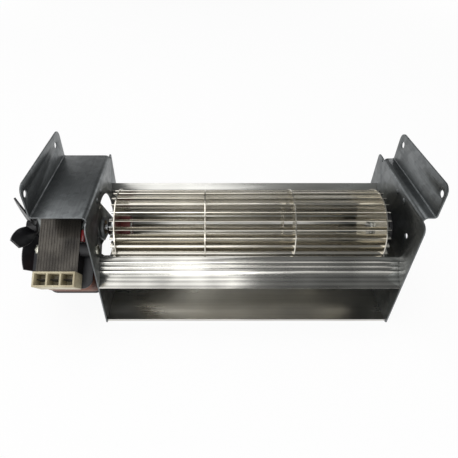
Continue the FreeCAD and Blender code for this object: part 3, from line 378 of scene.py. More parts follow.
# Ground and polished steel: rings round the shaft, sharp highlights
GROUND_STEEL = Finish(
    "steel_ground", "B4B6B6", "8D9090", rough=(0.14, 0.26), mark=0.3,
    depth=0.004, patch=12.0, lay=Lay.TURNED)
# Pressed bronze powder with oil in its pores: dull brown gold
SINTERED_BRONZE = Finish(
    "bronze_sintered", "8A6B3E", "55432A", rough=(0.38, 0.6), mark=0.5, depth=0.03, patch=6.0)
# Moulded black rubber: soft grey sheen, no clear highlight
BLACK_RUBBER = Finish(
    "rubber_black_moulded", "121213", "1E1E20", rough=(0.5, 0.66), mark=0.7,
    depth=0.01, patch=9.0, metallic=0.0)
# Moulded red rubber of the coupling: deep red, slightly dusty
RED_RUBBER = Finish(
    "rubber_red_moulded", "661715", "470E0D", rough=(0.4, 0.6), mark=0.7,
    depth=0.01, patch=9.0, metallic=0.0)
# Steel punched in sheets and dipped in varnish: grey brown edges, a thin gloss
LAMINATIONS = StackedSteel(
    "steel_punched_varnished", "57534D", "322F2C", rough=(0.3, 0.5), mark=0.6,
    depth=0.01, patch=14.0, coat=0.25)
# Zinc poured in a die: light grey with a faint orange peel skin
DIE_CAST = Finish(
    "zinc_die_cast", "8F9291", "696C6C", rough=(0.3, 0.48), mark=0.9, depth=0.02, patch=12.0)
# Small steel screws and nuts plated with zinc: pale, slightly yellow
ZINC_PLATE = Finish(
    "steel_zinc_plated", "B9B8AC", "8C8B80", rough=(0.2, 0.36), mark=0.5, depth=0.006, patch=5.0)
# Enamelled copper wire: orange brown under a clear gloss
ENAMELLED = Finish(
    "copper_wire_enamelled", "9A4E25", "6A3015", rough=(0.26, 0.4), mark=0.5,
    depth=0.01, patch=7.0, coat=0.6)
# Bare copper bar of the shading rings: dull pink brown
COPPER_BAR = Finish(
    "copper_bar_drawn", "9C5F43", "6B3D2B", rough=(0.3, 0.5), mark=0.6, depth=0.01, patch=8.0)
# Polyester tape over the winding: dull red brown film with slack wrinkles
COIL_TAPE = Finish(
    "tape_polyester_wrapped", "5C3A31", "743F20", rough=(0.55, 0.7), mark=5.0,
    depth=0.25, patch=16.0, metallic=0.0)
# Moulded glass-filled nylon: near black, fine even grain
BLACK_NYLON = Finish(
    "nylon_black_moulded", "17171A", "232327", rough=(0.32, 0.48), mark=0.6,
    depth=0.01, patch=12.0, metallic=0.0)
# Moulded natural nylon: cream, a little yellowed
CREAM_NYLON = Finish(
    "nylon_cream_moulded", "BDB498", "A0957A", rough=(0.34, 0.5), mark=0.8,
    depth=0.01, patch=10.0, metallic=0.0)
# Moulded polypropylene of the motor's fan: black and slightly waxy
FAN_PLASTIC = Finish(
    "polypropylene_black_moulded", "121214", "1D1D20", rough=(0.3, 0.44), mark=1.0,
    depth=0.015, patch=14.0, metallic=0.0)
# Woven glass sleeving dipped in red silicone: deep red with a wet shine
RED_SLEEVING = Finish(
    "glass_sleeving_silicone_dipped", "7B1A1B", "4F0D10", rough=(0.2, 0.34), mark=0.6,
    depth=0.03, patch=5.0, metallic=0.0, coat=0.8)
# Tinned brass contact strip, darkened to dark grey as painted shade in the connector's chambers
TINNED_BRASS_SHADED = Finish(
    "brass_tinned_painted_shade", "3E3C38", "2B2926", rough=(0.34, 0.5), mark=0.4, depth=0.005, patch=4.0)
# Aluminium cast round the rotor's steel: dull silver
CAST_ROTOR = Finish(
    "aluminium_cast", "A9AAAA", "7B7C7C", rough=(0.35, 0.55), mark=0.8, depth=0.02, patch=9.0)


def new_piece(name: str, mesh: bpy.types.Mesh) -> bpy.types.Object:
    """Put a mesh into the scene as an object at the origin.

    Args:
        name: Name of the object.
        mesh: Mesh that it shows.

    Returns:
        The new object.
    """
    piece = bpy.data.objects.new(name, mesh)
    bpy.context.scene.collection.objects.link(piece)
    return piece


def settle(piece: bpy.types.Object) -> None:
    """Replace a piece's mesh by the result of its modifiers, and drop them.

    Args:
        piece: Object whose modifiers are made final.
    """
    graph = bpy.context.evaluated_depsgraph_get()
    mesh = bpy.data.meshes.new_from_object(piece.evaluated_get(graph))
    piece.modifiers.clear()
    piece.data = mesh


def place_piece(piece: bpy.types.Object, node: str, replaced: Sequence[str] = ()) -> None:
    """Let a piece move with the body of a node and hide the CAD nodes that it stands for.

    Args:
        piece: Finished piece, at the origin.
        node: CAD node that gives the body.
        replaced: CAD nodes that the piece stands for.
    """
    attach(piece, frame["nodes"][node]["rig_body"])
    if replaced:
        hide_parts(*replaced)


def paint(piece: bpy.types.Object, finish: Finish, sharp_deg: float = SHARP_DEG) -> None:
    """Give a piece one finish and smooth shading between its sharp edges.

    Args:
        piece: Object to paint.
        finish: Surface that it gets.
        sharp_deg: Angle past which an edge counts as sharp.
    """
    piece.data.materials.clear()
    piece.data.materials.append(finish.material())
    piece.data.shade_smooth()
    piece.data.set_sharp_from_angle(angle=math.radians(sharp_deg))


@dataclass(frozen=True)
class Dressing:
    """How one CAD node is turned into a finished piece.

    Attributes:
        node: Name of the CAD node.
        finish: Surface that it gets.
        edge: Width in mm of the rounding on its sharp edges, or 0 for none.
        sharp: Angle in degrees past which an edge counts as sharp.
    """

    node: str
    finish: Finish
    edge: float
    sharp: float = SHARP_DEG

    # Corners this near are joined, faces this flat are joined, and a rounding has two steps
    WELD_MM = 0.002
    FLAT_DEG = 0.4
    EDGE_STEPS = 2

    def apply(self) -> None:
        """Copy the node, join its triangles, round its edges and let the copy stand for it."""
        mesh = frame["nodes"][self.node].data.copy()
        shell = bmesh.new()
        shell.from_mesh(mesh)
        bmesh.ops.remove_doubles(shell, verts=shell.verts, dist=mm(self.WELD_MM))
        bmesh.ops.dissolve_limit(shell, angle_limit=math.radians(self.FLAT_DEG),
                                 verts=shell.verts, edges=shell.edges)
        shell.to_mesh(mesh)
        shell.free()
        piece = new_piece(f"{self.node}_finished", mesh)
        if self.edge:
            bevel = piece.modifiers.new("edge", "BEVEL")
            bevel.width = mm(self.edge)
            bevel.segments = self.EDGE_STEPS
            bevel.limit_method = "ANGLE"
            bevel.angle_limit = math.radians(self.sharp)
            settle(piece)
        paint(piece, self.finish, self.sharp)
        place_piece(piece, self.node, [self.node])


def dress(*dressings: Dressing) -> None:
    """Turn CAD nodes into finished pieces."""
    for dressing in dressings:
        dressing.apply()


def ring_outline(across: float, up: float, radius: float, steps: int) -> Outline:
    """Give a circle as a closed outline."""
    return [Vector((across + radius * math.cos(turn), up + radius * math.sin(turn)))
            for turn in (math.tau * step / steps for step in range(steps))]


def rounded_outline(corners: Sequence[tuple[float, float, float]], steps: int = 6) -> Outline:
    """Give a closed outline with rounded corners.

    Args:
        corners: Place across, place up and radius of each corner, in order.
        steps: Straight pieces that a rounded corner is made of.

    Returns:
        Points of the outline.
    """
    points = []
    for number, (across, up, radius) in enumerate(corners):
        corner = Vector((across, up))
        if not radius:
            points.append(corner)
            continue
        back = (Vector(corners[number - 1][:2]) - corner).normalized()
        ahead = (Vector(corners[(number + 1) % len(corners)][:2]) - corner).normalized()
        half = back.angle(ahead) / 2
        centre = corner + (back + ahead).normalized() * radius / math.sin(half)
        start = corner + back * radius / math.tan(half)
        end = corner + ahead * radius / math.tan(half)
        for step in range(steps + 1):
            outwards = (start.lerp(end, step / steps) - centre).normalized()
            points.append(centre + outwards * radius)
    return points


def outline_mesh(name: str, outlines: Sequence[Outline]) -> bpy.types.Mesh:
    """Draw closed outlines as loops of edges in the XY plane.

    Args:
        name: Name of the mesh.
        outlines: Outlines in mm.

    Returns:
        Mesh of the edges, in metres.
    """
    points: list[tuple[float, float, float]] = []
    edges: list[tuple[int, int]] = []
    for outline in outlines:
        first = len(points)
        count = len(outline)
        points += [(mm(point.x), mm(point.y), 0.0) for point in outline]
        edges += [(first + number, first + (number + 1) % count) for number in range(count)]
    mesh = bpy.data.meshes.new(name)
    mesh.from_pydata(points, edges, [])
    return mesh


class PatternTree:
    """Geometry Nodes tree whose named inputs hold the sizes of what it repeats.

    Attributes:
        tree: The node tree.
        inputs: Group input node, whose outputs carry the named inputs.
        settings: Value of each input by the identifier of its socket.
    """

    SOCKETS = {int: "NodeSocketInt", float: "NodeSocketFloat",
               bpy.types.Material: "NodeSocketMaterial", bpy.types.Object: "NodeSocketObject"}

    def __init__(self, name: str, finish: Finish, sizes: dict[str, Any]) -> None:
        """Start a tree with a geometry input, one input for each size and a material.

        Args:
            name: Name of the tree.
            finish: Finish of what the tree makes.
            sizes: Value of each named input.
        """
        self.tree = bpy.data.node_groups.new(name, "GeometryNodeTree")
        sockets = self.tree.interface
        sockets.new_socket("Geometry", in_out="INPUT", socket_type="NodeSocketGeometry")
        self.settings: dict[str, Any] = {}
        for label, setting in {**sizes, "Material": finish.material()}.items():
            kind = self.SOCKETS[type(setting)]
            socket = sockets.new_socket(label, in_out="INPUT", socket_type=kind)
            self.settings[socket.identifier] = setting
        sockets.new_socket("Geometry", in_out="OUTPUT", socket_type="NodeSocketGeometry")
        self.inputs = self.tree.nodes.new("NodeGroupInput").outputs

    def add(self, kind: str, settings: dict[str, Any] | None = None,
            inputs: dict[str | int, Any] | None = None) -> bpy.types.NodeSocket:
        """Add a node to the tree and give its first output."""
        return add_node(self.tree, kind, settings, inputs).outputs[0]

    def grow(self, name: str, seed: bpy.types.Mesh, geometry: bpy.types.NodeSocket,
             place: Matrix) -> bpy.types.Object:
        """End the tree, run it on a mesh and keep the result as a plain mesh.

        Args:
            name: Name of the finished piece.
            seed: Mesh that the tree starts from.
            geometry: Output that holds the whole pattern.
            place: Turn and place of the finished piece.

        Returns:
            The finished piece, at the origin.
        """
        real = self.add("GeometryNodeRealizeInstances", None, {0: geometry})
        dressed = self.add("GeometryNodeSetMaterial", None,
                           {"Geometry": real, "Material": self.inputs["Material"]})
        add_node(self.tree, "NodeGroupOutput", None, {0: dressed})
        piece = new_piece(name, seed)
        modifier = piece.modifiers.new(self.tree.name, "NODES")
        modifier.node_group = self.tree
        for identifier, setting in self.settings.items():
            modifier[identifier] = setting
        settle(piece)
        piece.data.transform(place)
        return piece


@dataclass(frozen=True)
class CrossScrew:
    """Screw with a low rounded head and a cross recess, drawn with its head up.

    Attributes:
        shank: Radius of the shank.
        head: Radius of the head.
        height: Height of the head.
        length: From under the head to the tip.
        recess: Length of one arm of the cross.
        slot: Width of one arm of the cross.
        sink: Depth of the cross.
        finish: Surface of the screw.
    """

    shank: float
    head: float
    height: float
    length: float
    recess: float = 1.5
    slot: float = 0.65
    sink: float = 1.1
    finish: Finish = ZINC_PLATE

    STEPS = 28
    # Shares of the shank's radius: the tip's radius and the length of its taper
    TIP = (0.7, 0.4)
    # Shares of the head: its radius underneath and the height of its straight rim
    UNDERSIDE = 0.97
    RIM = 0.35
    # Angles on the head's crown at which a ring stands
    CROWN_DEG = (0, 20, 40, 60, 78)
    # Height in mm by which the block that cuts the cross stands above the head
    CLEAR = 1.0

    def profile(self) -> list[tuple[float, float]]:
        """Draw the half profile, from the tip to the top of the head.

        Returns:
            Radius and height of each ring, in mm.
        """
        tip_radius, taper = (self.shank * share for share in self.TIP)
        crown = [(self.head * math.cos(turn),
                  self.height * (self.RIM + (1 - self.RIM) * math.sin(turn)))
                 for turn in map(math.radians, self.CROWN_DEG)]
        return [(tip_radius, -self.length), (self.shank, taper - self.length),
                (self.shank, 0.0), (self.head * self.UNDERSIDE, 0.0), *crown]

    def mesh(self) -> bpy.types.Mesh:
        """Turn the profile and cut the cross into the head.

        Returns:
            Mesh of the screw with the underside of its head at the origin.
        """
        shell = bmesh.new()
        rings = []
        for radius, height in self.profile():
            rings.append([shell.verts.new((mm(point.x), mm(point.y), mm(height)))
                          for point in ring_outline(0, 0, radius, self.STEPS)])
        for low, high in zip(rings, rings[1:]):
            for step in range(self.STEPS):
                after = (step + 1) % self.STEPS
                shell.faces.new((low[step], low[after], high[after], high[step]))
        shell.faces.new(rings[0][::-1])
        shell.faces.new(rings[-1])
        mesh = bpy.data.meshes.new("screw_turned")
        shell.to_mesh(mesh)
        shell.free()
        turned = new_piece("screw_turned", mesh)
        for number, turn in enumerate((0.0, math.pi / 2)):
            arm = self.arm(turn)
            cut = turned.modifiers.new(f"arm_{number}", "BOOLEAN")
            cut.operation = "DIFFERENCE"
            cut.object = arm
            settle(turned)
            bpy.data.objects.remove(arm)
        cut_mesh = turned.data
        bpy.data.objects.remove(turned)
        return cut_mesh

    def arm(self, turn: float) -> bpy.types.Object:
        """Make the block that cuts one arm of the cross.

        Args:
            turn: Angle of the arm about the screw's axis, in radians.

        Returns:
            The block, as an object to be removed after the cut.
        """
        shell = bmesh.new()
        bmesh.ops.create_cube(shell, size=1.0)
        tall = self.sink + self.CLEAR
        raised = Matrix.Translation((0, 0, mm(self.height + self.CLEAR - tall / 2)))
        shape = Matrix.Diagonal((mm(2 * self.recess), mm(self.slot), mm(tall), 1.0))
        shell.transform(Matrix.Rotation(turn, 4, "Z") @ raised @ shape)
        mesh = bpy.data.meshes.new("screw_arm")
        shell.to_mesh(mesh)
        shell.free()
        return new_piece("screw_arm", mesh)

    def row(self, node: str, seats: Sequence[tuple[Vector, float]], place: Matrix) -> None:
        """Set one screw at each seat and let the row stand for a CAD node.

        Args:
            node: CAD node that holds the row's plain screws.
            seats: Point under each head in mm, and 1 or -1 for a head towards +X or -X.
            place: Turn and place of the frame that the seats are given in.
        """
        model = new_piece(f"{node}_model", self.mesh())
        seed = bpy.data.meshes.new(f"{node}_seats")
        seed.from_pydata([[mm(part) for part in seat] for seat, _ in seats], [], [])
        turns = seed.attributes.new("heading", "FLOAT_VECTOR", "POINT")
        for number, (_, side) in enumerate(seats):
            turns.data[number].vector = (0.0, side * math.pi / 2, 0.0)
        pattern = PatternTree(f"{node}_row", self.finish, {"Screw": model})
        heading = pattern.add("GeometryNodeInputNamedAttribute",
                              {"data_type": "FLOAT_VECTOR"}, {"Name": "heading"})
        shape = add_node(pattern.tree, "GeometryNodeObjectInfo", None,
                         {"Object": pattern.inputs["Screw"]}).outputs["Geometry"]
        screws = pattern.add("GeometryNodeInstanceOnPoints", None, {
            "Points": pattern.inputs["Geometry"], "Instance": shape, "Rotation": heading})
        piece = pattern.grow(f"{node}_cross_head", seed, screws, place)
        bpy.data.objects.remove(model)
        paint(piece, self.finish)
        place_piece(piece, node, [node])


@dataclass
class Duct:
    """End plates, scroll and deflector, held together by tabs and two screws.

    Attributes:
        half_width: From the fan's middle to the inner face of an end plate.
        sheet: Thickness of an end plate.
        screw: Screw that goes through a plate into the deflector's port.
    """

    half_width: float = 110.0
    sheet: float = 1.0
    screw: CrossScrew = CrossScrew(shank=1.46, head=2.7, height=2.2, length=7.6)

    def build(self) -> None:
        """Dress the sheets and set the deflector's screws."""
        # The end plates are darkened as painted shade and the scroll is paled as painted light
        dress(Dressing("left_end_plate", PLATE_ZINC_PAINTED_SHADE, edge=0.16),
              Dressing("right_end_plate", PLATE_ZINC_PAINTED_SHADE, edge=0.16),
              Dressing("scroll_housing", SCROLL_ZINC_PAINTED_LIGHT, edge=0.12),
              Dressing("front_deflector", DIE_DRAWN, edge=0.12),
              Dressing("bearing_mount", BLACK_RUBBER, edge=0.5),
              Dressing("end_bush", SINTERED_BRONZE, edge=0.3))
        low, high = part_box("deflector_screws")
        middle = (low + high) / 2 / mm(1.0)
        face = self.half_width + self.sheet
        seats = [(Vector((side * face, middle.y, middle.z)), side) for side in (-1, 1)]
        self.screw.row("deflector_screws", seats, Matrix.Identity(4))


@dataclass
class Impeller:
    """Long bladed rotor on its driving hub and its stub shaft.

    Attributes:
        blades: How many blades stand in the ring.
        inner: Radius at which the blades' inner edges stand.
        outer: Radius at which their outer edges stand.
        bend: Radius of a blade's arc.
        thick: Thickness of the blades' strip.
        length: Length of a blade.
        steps: Points across a blade's arc.
    """

    blades: int = 28
    inner: float = 23.5
    outer: float = 29.2
    bend: float = 8.0
    thick: float = 0.5
    length: float = 203.0
    steps: int = 10

    def build(self) -> None:
        """Make the blades and dress the discs, hub and shafts."""
        self.blade_ring()
        dress(*(Dressing(disc, BLADE_STRIP, edge=0.0)
                for disc in ("driven_disc", "left_ring", "right_ring", "free_disc")))
        dress(Dressing("hub_damper", RED_RUBBER, edge=0.4),
              Dressing("hub_sleeve", GROUND_STEEL, edge=0.25),
              Dressing("hub_grub_screw", GROUND_STEEL, edge=0.2),
              Dressing("motor_shaft", GROUND_STEEL, edge=0.3),
              Dressing("stub_shaft", GROUND_STEEL, edge=0.25))

    def sweep(self) -> float:
        """Work out how far a blade's arc turns.

        Returns:
            Angle of the arc in radians, from the blade's inner to its outer edge.
        """
        offset = math.atan2(self.bend, self.inner)
        rise = (self.outer ** 2 - self.inner ** 2) / (2 * self.bend) - self.bend
        return offset + math.asin(rise / math.hypot(self.inner, self.bend))

    def blade_ring(self) -> None:
        """Bend one blade from strip and repeat it round the axis."""
        pattern = PatternTree("blade_ring", BLADE_STRIP, {
            "Blades": self.blades, "Inner Radius": mm(self.inner), "Bend": mm(self.bend),
            "Sweep": self.sweep(), "Steps": self.steps, "Thickness": mm(self.thick),
            "Length": mm(self.length)})
        sizes = pattern.inputs
        arc = pattern.add("GeometryNodeCurveArc", {"mode": "RADIUS"}, {
            "Resolution": sizes["Steps"], "Radius": sizes["Bend"], "Start Angle": -math.pi / 2,
            "Sweep Angle": sizes["Sweep"]})
        centre = pattern.add("ShaderNodeCombineXYZ", None,
                             {0: sizes["Inner Radius"], 1: sizes["Bend"]})
        bent = pattern.add("GeometryNodeTransform", None,
                           {"Geometry": arc, "Translation": centre})
        strip = pattern.add("GeometryNodeCurvePrimitiveQuadrilateral", None,
                            {"Width": sizes["Thickness"], "Height": sizes["Length"]})
        blade = pattern.add("GeometryNodeCurveToMesh", None,
                            {"Curve": bent, "Profile Curve": strip, "Fill Caps": True})
        points = pattern.add("GeometryNodePoints", None, {"Count": sizes["Blades"]})
        number = pattern.add("GeometryNodeInputIndex")
        share = pattern.add("ShaderNodeMath", {"operation": "DIVIDE"},
                            {0: number, 1: sizes["Blades"]})
        turn = pattern.add("ShaderNodeMath", {"operation": "MULTIPLY"},
                           {0: share, 1: math.tau})
        rotation = pattern.add("ShaderNodeCombineXYZ", None, {2: turn})
        ring = pattern.add("GeometryNodeInstanceOnPoints", None,
                           {"Points": points, "Instance": blade, "Rotation": rotation})
        piece = pattern.grow("impeller_blade_ring", bpy.data.meshes.new("blade_seed"), ring,
                             ON_THE_AXIS @ ALONG_THE_FAN)
        paint(piece, BLADE_STRIP)
        place_piece(piece, "impeller_blades", ["impeller_blades"])


@dataclass
class Motor:
    """Shaded pole motor that hangs from the left end plate, its coil turned forward.

    Places across and up are measured from the axis, in the frame where the coil hangs
    straight down, and places out from the fan's middle.

    Attributes:
        lean_deg: How far the hanging coil is turned towards the outlet.
        stack_out: Place of the stack's outer face.
        stack_length: Length of the stack along the axis.
        sheet_pitch: Distance from sheet to sheet.
        half: Half the width of a sheet.
        top: Height of a sheet's top edge.
        corner: Radius of a sheet's top corners.
        cheek: From the middle to the inner side of a leg.
        leg_end: Depth of the legs' ends.
        window_top: Depth of the top of the coil's window.
        bore: Radius of the bore.
        groove: Step between the rims of one sheet and the next.
        shading_side: From the middle to the near side of a shading ring's holes.
        shading_wide: Width of such a hole.
        shading_low: Height of the lower hole.
        shading_high: Height of the upper hole.
        bridge_screw: Place across and up of the screws of the bridges.
        mount_screw: Place across and up of the screws that hold the motor.
        hole_gap: Room round a screw in its hole.
        plate: Place of the end plate's inner face, under the mounting screws' heads.
        bridge_out: Place of the outer bridge's face, under the long screws' heads.
        coil_box: Outer side, inner side, bottom and top of the coil.
        coil_corner: Radius of the coil's corners.
        coil_inset: How far the wire's path lies inside the coil's outline.
        coil_half_wide: Half the width of the winding.
        wire: Radius of the wire, which is drawn coarse so that its turns show.
        wire_pitch: Distance from turn to turn.
        long_screw: Screw of the bridges.
        mount: Screw that holds the motor.
    """

    lean_deg: float = 53.0
    stack_out: float = 150.0
    stack_length: float = 29.0
    sheet_pitch: float = LAMINATIONS.sheet
    half: float = 30.0
    top: float = 24.0
    corner: float = 5.0
    cheek: float = 18.0
    leg_end: float = 40.0
    window_top: float = 16.5
    bore: float = 12.5
    groove: float = 0.3
    shading_side: float = 15.15
    shading_wide: float = 2.1
    shading_low: float = 3.95
    shading_high: float = 10.95
    bridge_screw: tuple[float, float] = (20.0, 11.0)
    mount_screw: tuple[float, float] = (25.5, -23.0)
    hole_gap: float = 0.2
    plate: float = Duct.half_width
    bridge_out: float = 158.0
    coil_box: tuple[float, float, float, float] = (-157.5, -113.5, -50.0, -17.5)
    coil_corner: float = 7.0
    coil_inset: float = 1.5
    coil_half_wide: float = 16.5
    wire: float = 0.28
    wire_pitch: float = 0.62
    long_screw: CrossScrew = CrossScrew(shank=1.5, head=2.7, height=2.2, length=48.4)
    mount: CrossScrew = CrossScrew(shank=2.0, head=3.6, height=2.2, length=43.4, recess=2.0,
                                   slot=0.85)

    # Steps round the bore, round a screw's hole and round the wire
    BORE_STEPS = 48
    HOLE_STEPS = 16
    WIRE_STEPS = 6
    # Corners of a sheet's face and walls this near are joined
    WELD_MM = 0.001

    def place(self) -> Matrix:
        """Give the turn and place of the frame in which the coil hangs straight down."""
        return ON_THE_AXIS @ Matrix.Rotation(-math.radians(self.lean_deg), 4, "X")

    def build(self) -> None:
        """Make the stack and the winding, and dress the rest of the motor."""
        self.stack()
        self.winding()
        dress(Dressing("coil_yoke", LAMINATIONS, edge=0.1),
              Dressing("shading_rings", COPPER_BAR, edge=0.4),
              Dressing("bobbin", BLACK_NYLON, edge=0.25),
              Dressing("coil_winding", ENAMELLED, edge=0.0),
              Dressing("coil_tape", COIL_TAPE, edge=0.1),
              Dressing("connector_housing", CREAM_NYLON, edge=0.25),
              # The contact tabs are dark as painted shade inside the connector's chambers
              Dressing("contact_tabs", TINNED_BRASS_SHADED, edge=0.12),
              Dressing("outer_bridge", DIE_CAST, edge=0.3),
              Dressing("inner_bridge", DIE_CAST, edge=0.3),
              Dressing("outer_bush", SINTERED_BRONZE, edge=0.3),
              Dressing("inner_bush", SINTERED_BRONZE, edge=0.3),
              Dressing("motor_rotor", CAST_ROTOR, edge=0.3),
              Dressing("bridge_nuts", ZINC_PLATE, edge=0.2),
              Dressing("motor_mount_nuts", ZINC_PLATE, edge=0.25),
              Dressing("motor_grommets", BLACK_RUBBER, edge=0.6),
              Dressing("lead_sleeving", RED_SLEEVING, edge=0.3))
        self.screws()

    def screws(self) -> None:
        """Set the long screws of the bridges and the screws that hold the motor."""
        across, up = self.bridge_screw
        seats = [(Vector((-self.bridge_out, side * across, up)), -1) for side in (-1, 1)]
        self.long_screw.row("bridge_screws", seats, self.place())
        across, up = self.mount_screw
        seats = [(Vector((-self.plate, side * across, up)), 1) for side in (-1, 1)]
        self.mount.row("motor_mount_screws", seats, self.place())

    def sheet_outlines(self) -> list[Outline]:
        """Draw one punched sheet.

        Returns:
            Outlines of the rim, the bore and the smaller holes.
        """
        rim = [(-self.half, self.top, self.corner), (self.half, self.top, self.corner),
               (self.half, -self.leg_end, 0), (self.cheek, -self.leg_end, 0),
               (self.cheek, -self.window_top, 0), (-self.cheek, -self.window_top, 0),
               (-self.cheek, -self.leg_end, 0), (-self.half, -self.leg_end, 0)]
        outlines = [rounded_outline(rim[::-1]), ring_outline(0, 0, self.bore, self.BORE_STEPS)]
        for side in (-1, 1):
            for (across, up), screw in ((self.bridge_screw, self.long_screw),
                                        (self.mount_screw, self.mount)):
                outlines.append(ring_outline(side * across, up, screw.shank + self.hole_gap,
                                             self.HOLE_STEPS))
            near = side * self.shading_side
            far = near + side * self.shading_wide
            for low in (self.shading_low, self.shading_high):
                high = low + self.shading_wide
                outlines.append([Vector(corner) for corner in
                                 ((near, low), (far, low), (far, high), (near, high))])
        return outlines

    def stack(self) -> None:
        """Punch one sheet and stack it, every other one a little smaller so that ribs show.

        The real sheets are 0.5 mm thick, which is finer than the render shows, so these are
        drawn twice as thick.
        """
        count = round(self.stack_length / self.sheet_pitch)
        pattern = PatternTree("sheet_stack", LAMINATIONS, {
            "Sheets": count, "Pitch": mm(self.stack_length / count),
            "Smaller": 1 - self.groove / self.half})
        sizes = pattern.inputs
        loops = pattern.add("GeometryNodeMeshToCurve", None, {"Mesh": sizes["Geometry"]})
        face = pattern.add("GeometryNodeFillCurve", {"mode": "TRIANGLES"}, {"Curve": loops})
        wall = pattern.add("GeometryNodeExtrudeMesh", {"mode": "FACES"}, {
            "Mesh": face, "Offset Scale": sizes["Pitch"], "Individual": False})
        back = pattern.add("GeometryNodeFlipFaces", None, {"Mesh": face})
        both = add_node(pattern.tree, "GeometryNodeJoinGeometry")
        pattern.tree.links.new(wall, both.inputs[0])
        pattern.tree.links.new(back, both.inputs[0])
        sheet = pattern.add("GeometryNodeMergeByDistance", None,
                            {"Geometry": both.outputs[0], "Distance": mm(self.WELD_MM)})
        step = pattern.add("ShaderNodeCombineXYZ", None, {2: sizes["Pitch"]})
        row = pattern.add("GeometryNodeMeshLine", None,
                          {"Count": sizes["Sheets"], "Offset": step})
        number = pattern.add("GeometryNodeInputIndex")
        odd = pattern.add("ShaderNodeMath", {"operation": "MODULO"}, {0: number, 1: 2.0})
        scale = pattern.add("ShaderNodeMapRange", None,
                            {"Value": odd, "To Min": 1.0, "To Max": sizes["Smaller"]})
        spread = pattern.add("ShaderNodeCombineXYZ", None, {0: scale, 1: scale, 2: 1.0})
        sheets = pattern.add("GeometryNodeInstanceOnPoints", None,
                             {"Points": row, "Instance": sheet, "Scale": spread})
        start = Matrix.Translation((-mm(self.stack_out), 0, 0))
        seed = outline_mesh("punched_sheet", self.sheet_outlines())
        piece = pattern.grow("stator_laminations", seed, sheets,
                             self.place() @ start @ ALONG_THE_FAN)
        paint(piece, LAMINATIONS)
        place_piece(piece, "stator_core", ["stator_core"])

    def winding(self) -> None:
        """Wind the outermost layer of wire round the coil, turn beside turn."""
        left, right, bottom, top = self.coil_box
        inset = self.coil_inset
        radius = self.coil_corner - inset
        rim = rounded_outline([(left + inset, bottom + inset, radius),
                               (right - inset, bottom + inset, radius),
                               (right - inset, top - inset, radius),
                               (left + inset, top - inset, radius)])
        turns = int(2 * self.coil_half_wide / self.wire_pitch)
        pattern = PatternTree("wire_turns", ENAMELLED, {
            "Turns": turns, "Pitch": mm(self.wire_pitch), "Wire Radius": mm(self.wire)})
        sizes = pattern.inputs
        path = pattern.add("GeometryNodeMeshToCurve", None, {"Mesh": sizes["Geometry"]})
        section = pattern.add("GeometryNodeCurvePrimitiveCircle", None,
                              {"Resolution": self.WIRE_STEPS, "Radius": sizes["Wire Radius"]})
        loop = pattern.add("GeometryNodeCurveToMesh", None,
                           {"Curve": path, "Profile Curve": section})
        step = pattern.add("ShaderNodeCombineXYZ", None, {2: sizes["Pitch"]})
        row = pattern.add("GeometryNodeMeshLine", None,
                          {"Count": sizes["Turns"], "Offset": step})
        wound = pattern.add("GeometryNodeInstanceOnPoints", None,
                            {"Points": row, "Instance": loop})
        upright = Matrix.Rotation(math.pi / 2, 4, "X")
        middle = Matrix.Translation((0, 0, -mm(self.wire_pitch * (turns - 1) / 2)))
        piece = pattern.grow("winding_outer_turns", outline_mesh("turn", [rim]), wound,
                             self.place() @ upright @ middle)
        paint(piece, ENAMELLED)
        place_piece(piece, "coil_winding")


@dataclass
class CoolingFan:
    """Small moulded fan on the outer end of the motor's shaft.

    Attributes:
        edge: Width of the rounding on its edges.
        sharp_deg: Angle past which an edge is sharp, above the steps of its twisted blades.
    """

    edge: float = 0.3
    sharp_deg: float = 40.0

    def build(self) -> None:
        """Dress the fan."""
        dress(Dressing("cooling_fan", FAN_PLASTIC, self.edge, self.sharp_deg))


@dataclass(frozen=True)
class SoftLamp:
    """Square soft lamp that the camera doesn't see.

    Attributes:
        name: Name of the lamp.
        place: Where it hangs, in metres.
        size: Length of its sides in metres.
        power: Power in watts.
    """

    name: str
    place: tuple[float, float, float]
    size: float
    power: float

    def hang(self) -> None:
        """Hang the lamp and point it at the fan."""
        data = bpy.data.lights.new(self.name, "AREA")
        data.size = self.size
        data.energy = self.power
        lamp = bpy.data.objects.new(self.name, data)
        bpy.context.scene.collection.objects.link(lamp)
        lamp.visible_camera = False
        lamp.location = self.place
        ahead = Vector((0, 0, AXIS_HEIGHT)) - Vector(self.place)
        lamp.rotation_euler = ahead.to_track_quat("-Z", "Y").to_euler()


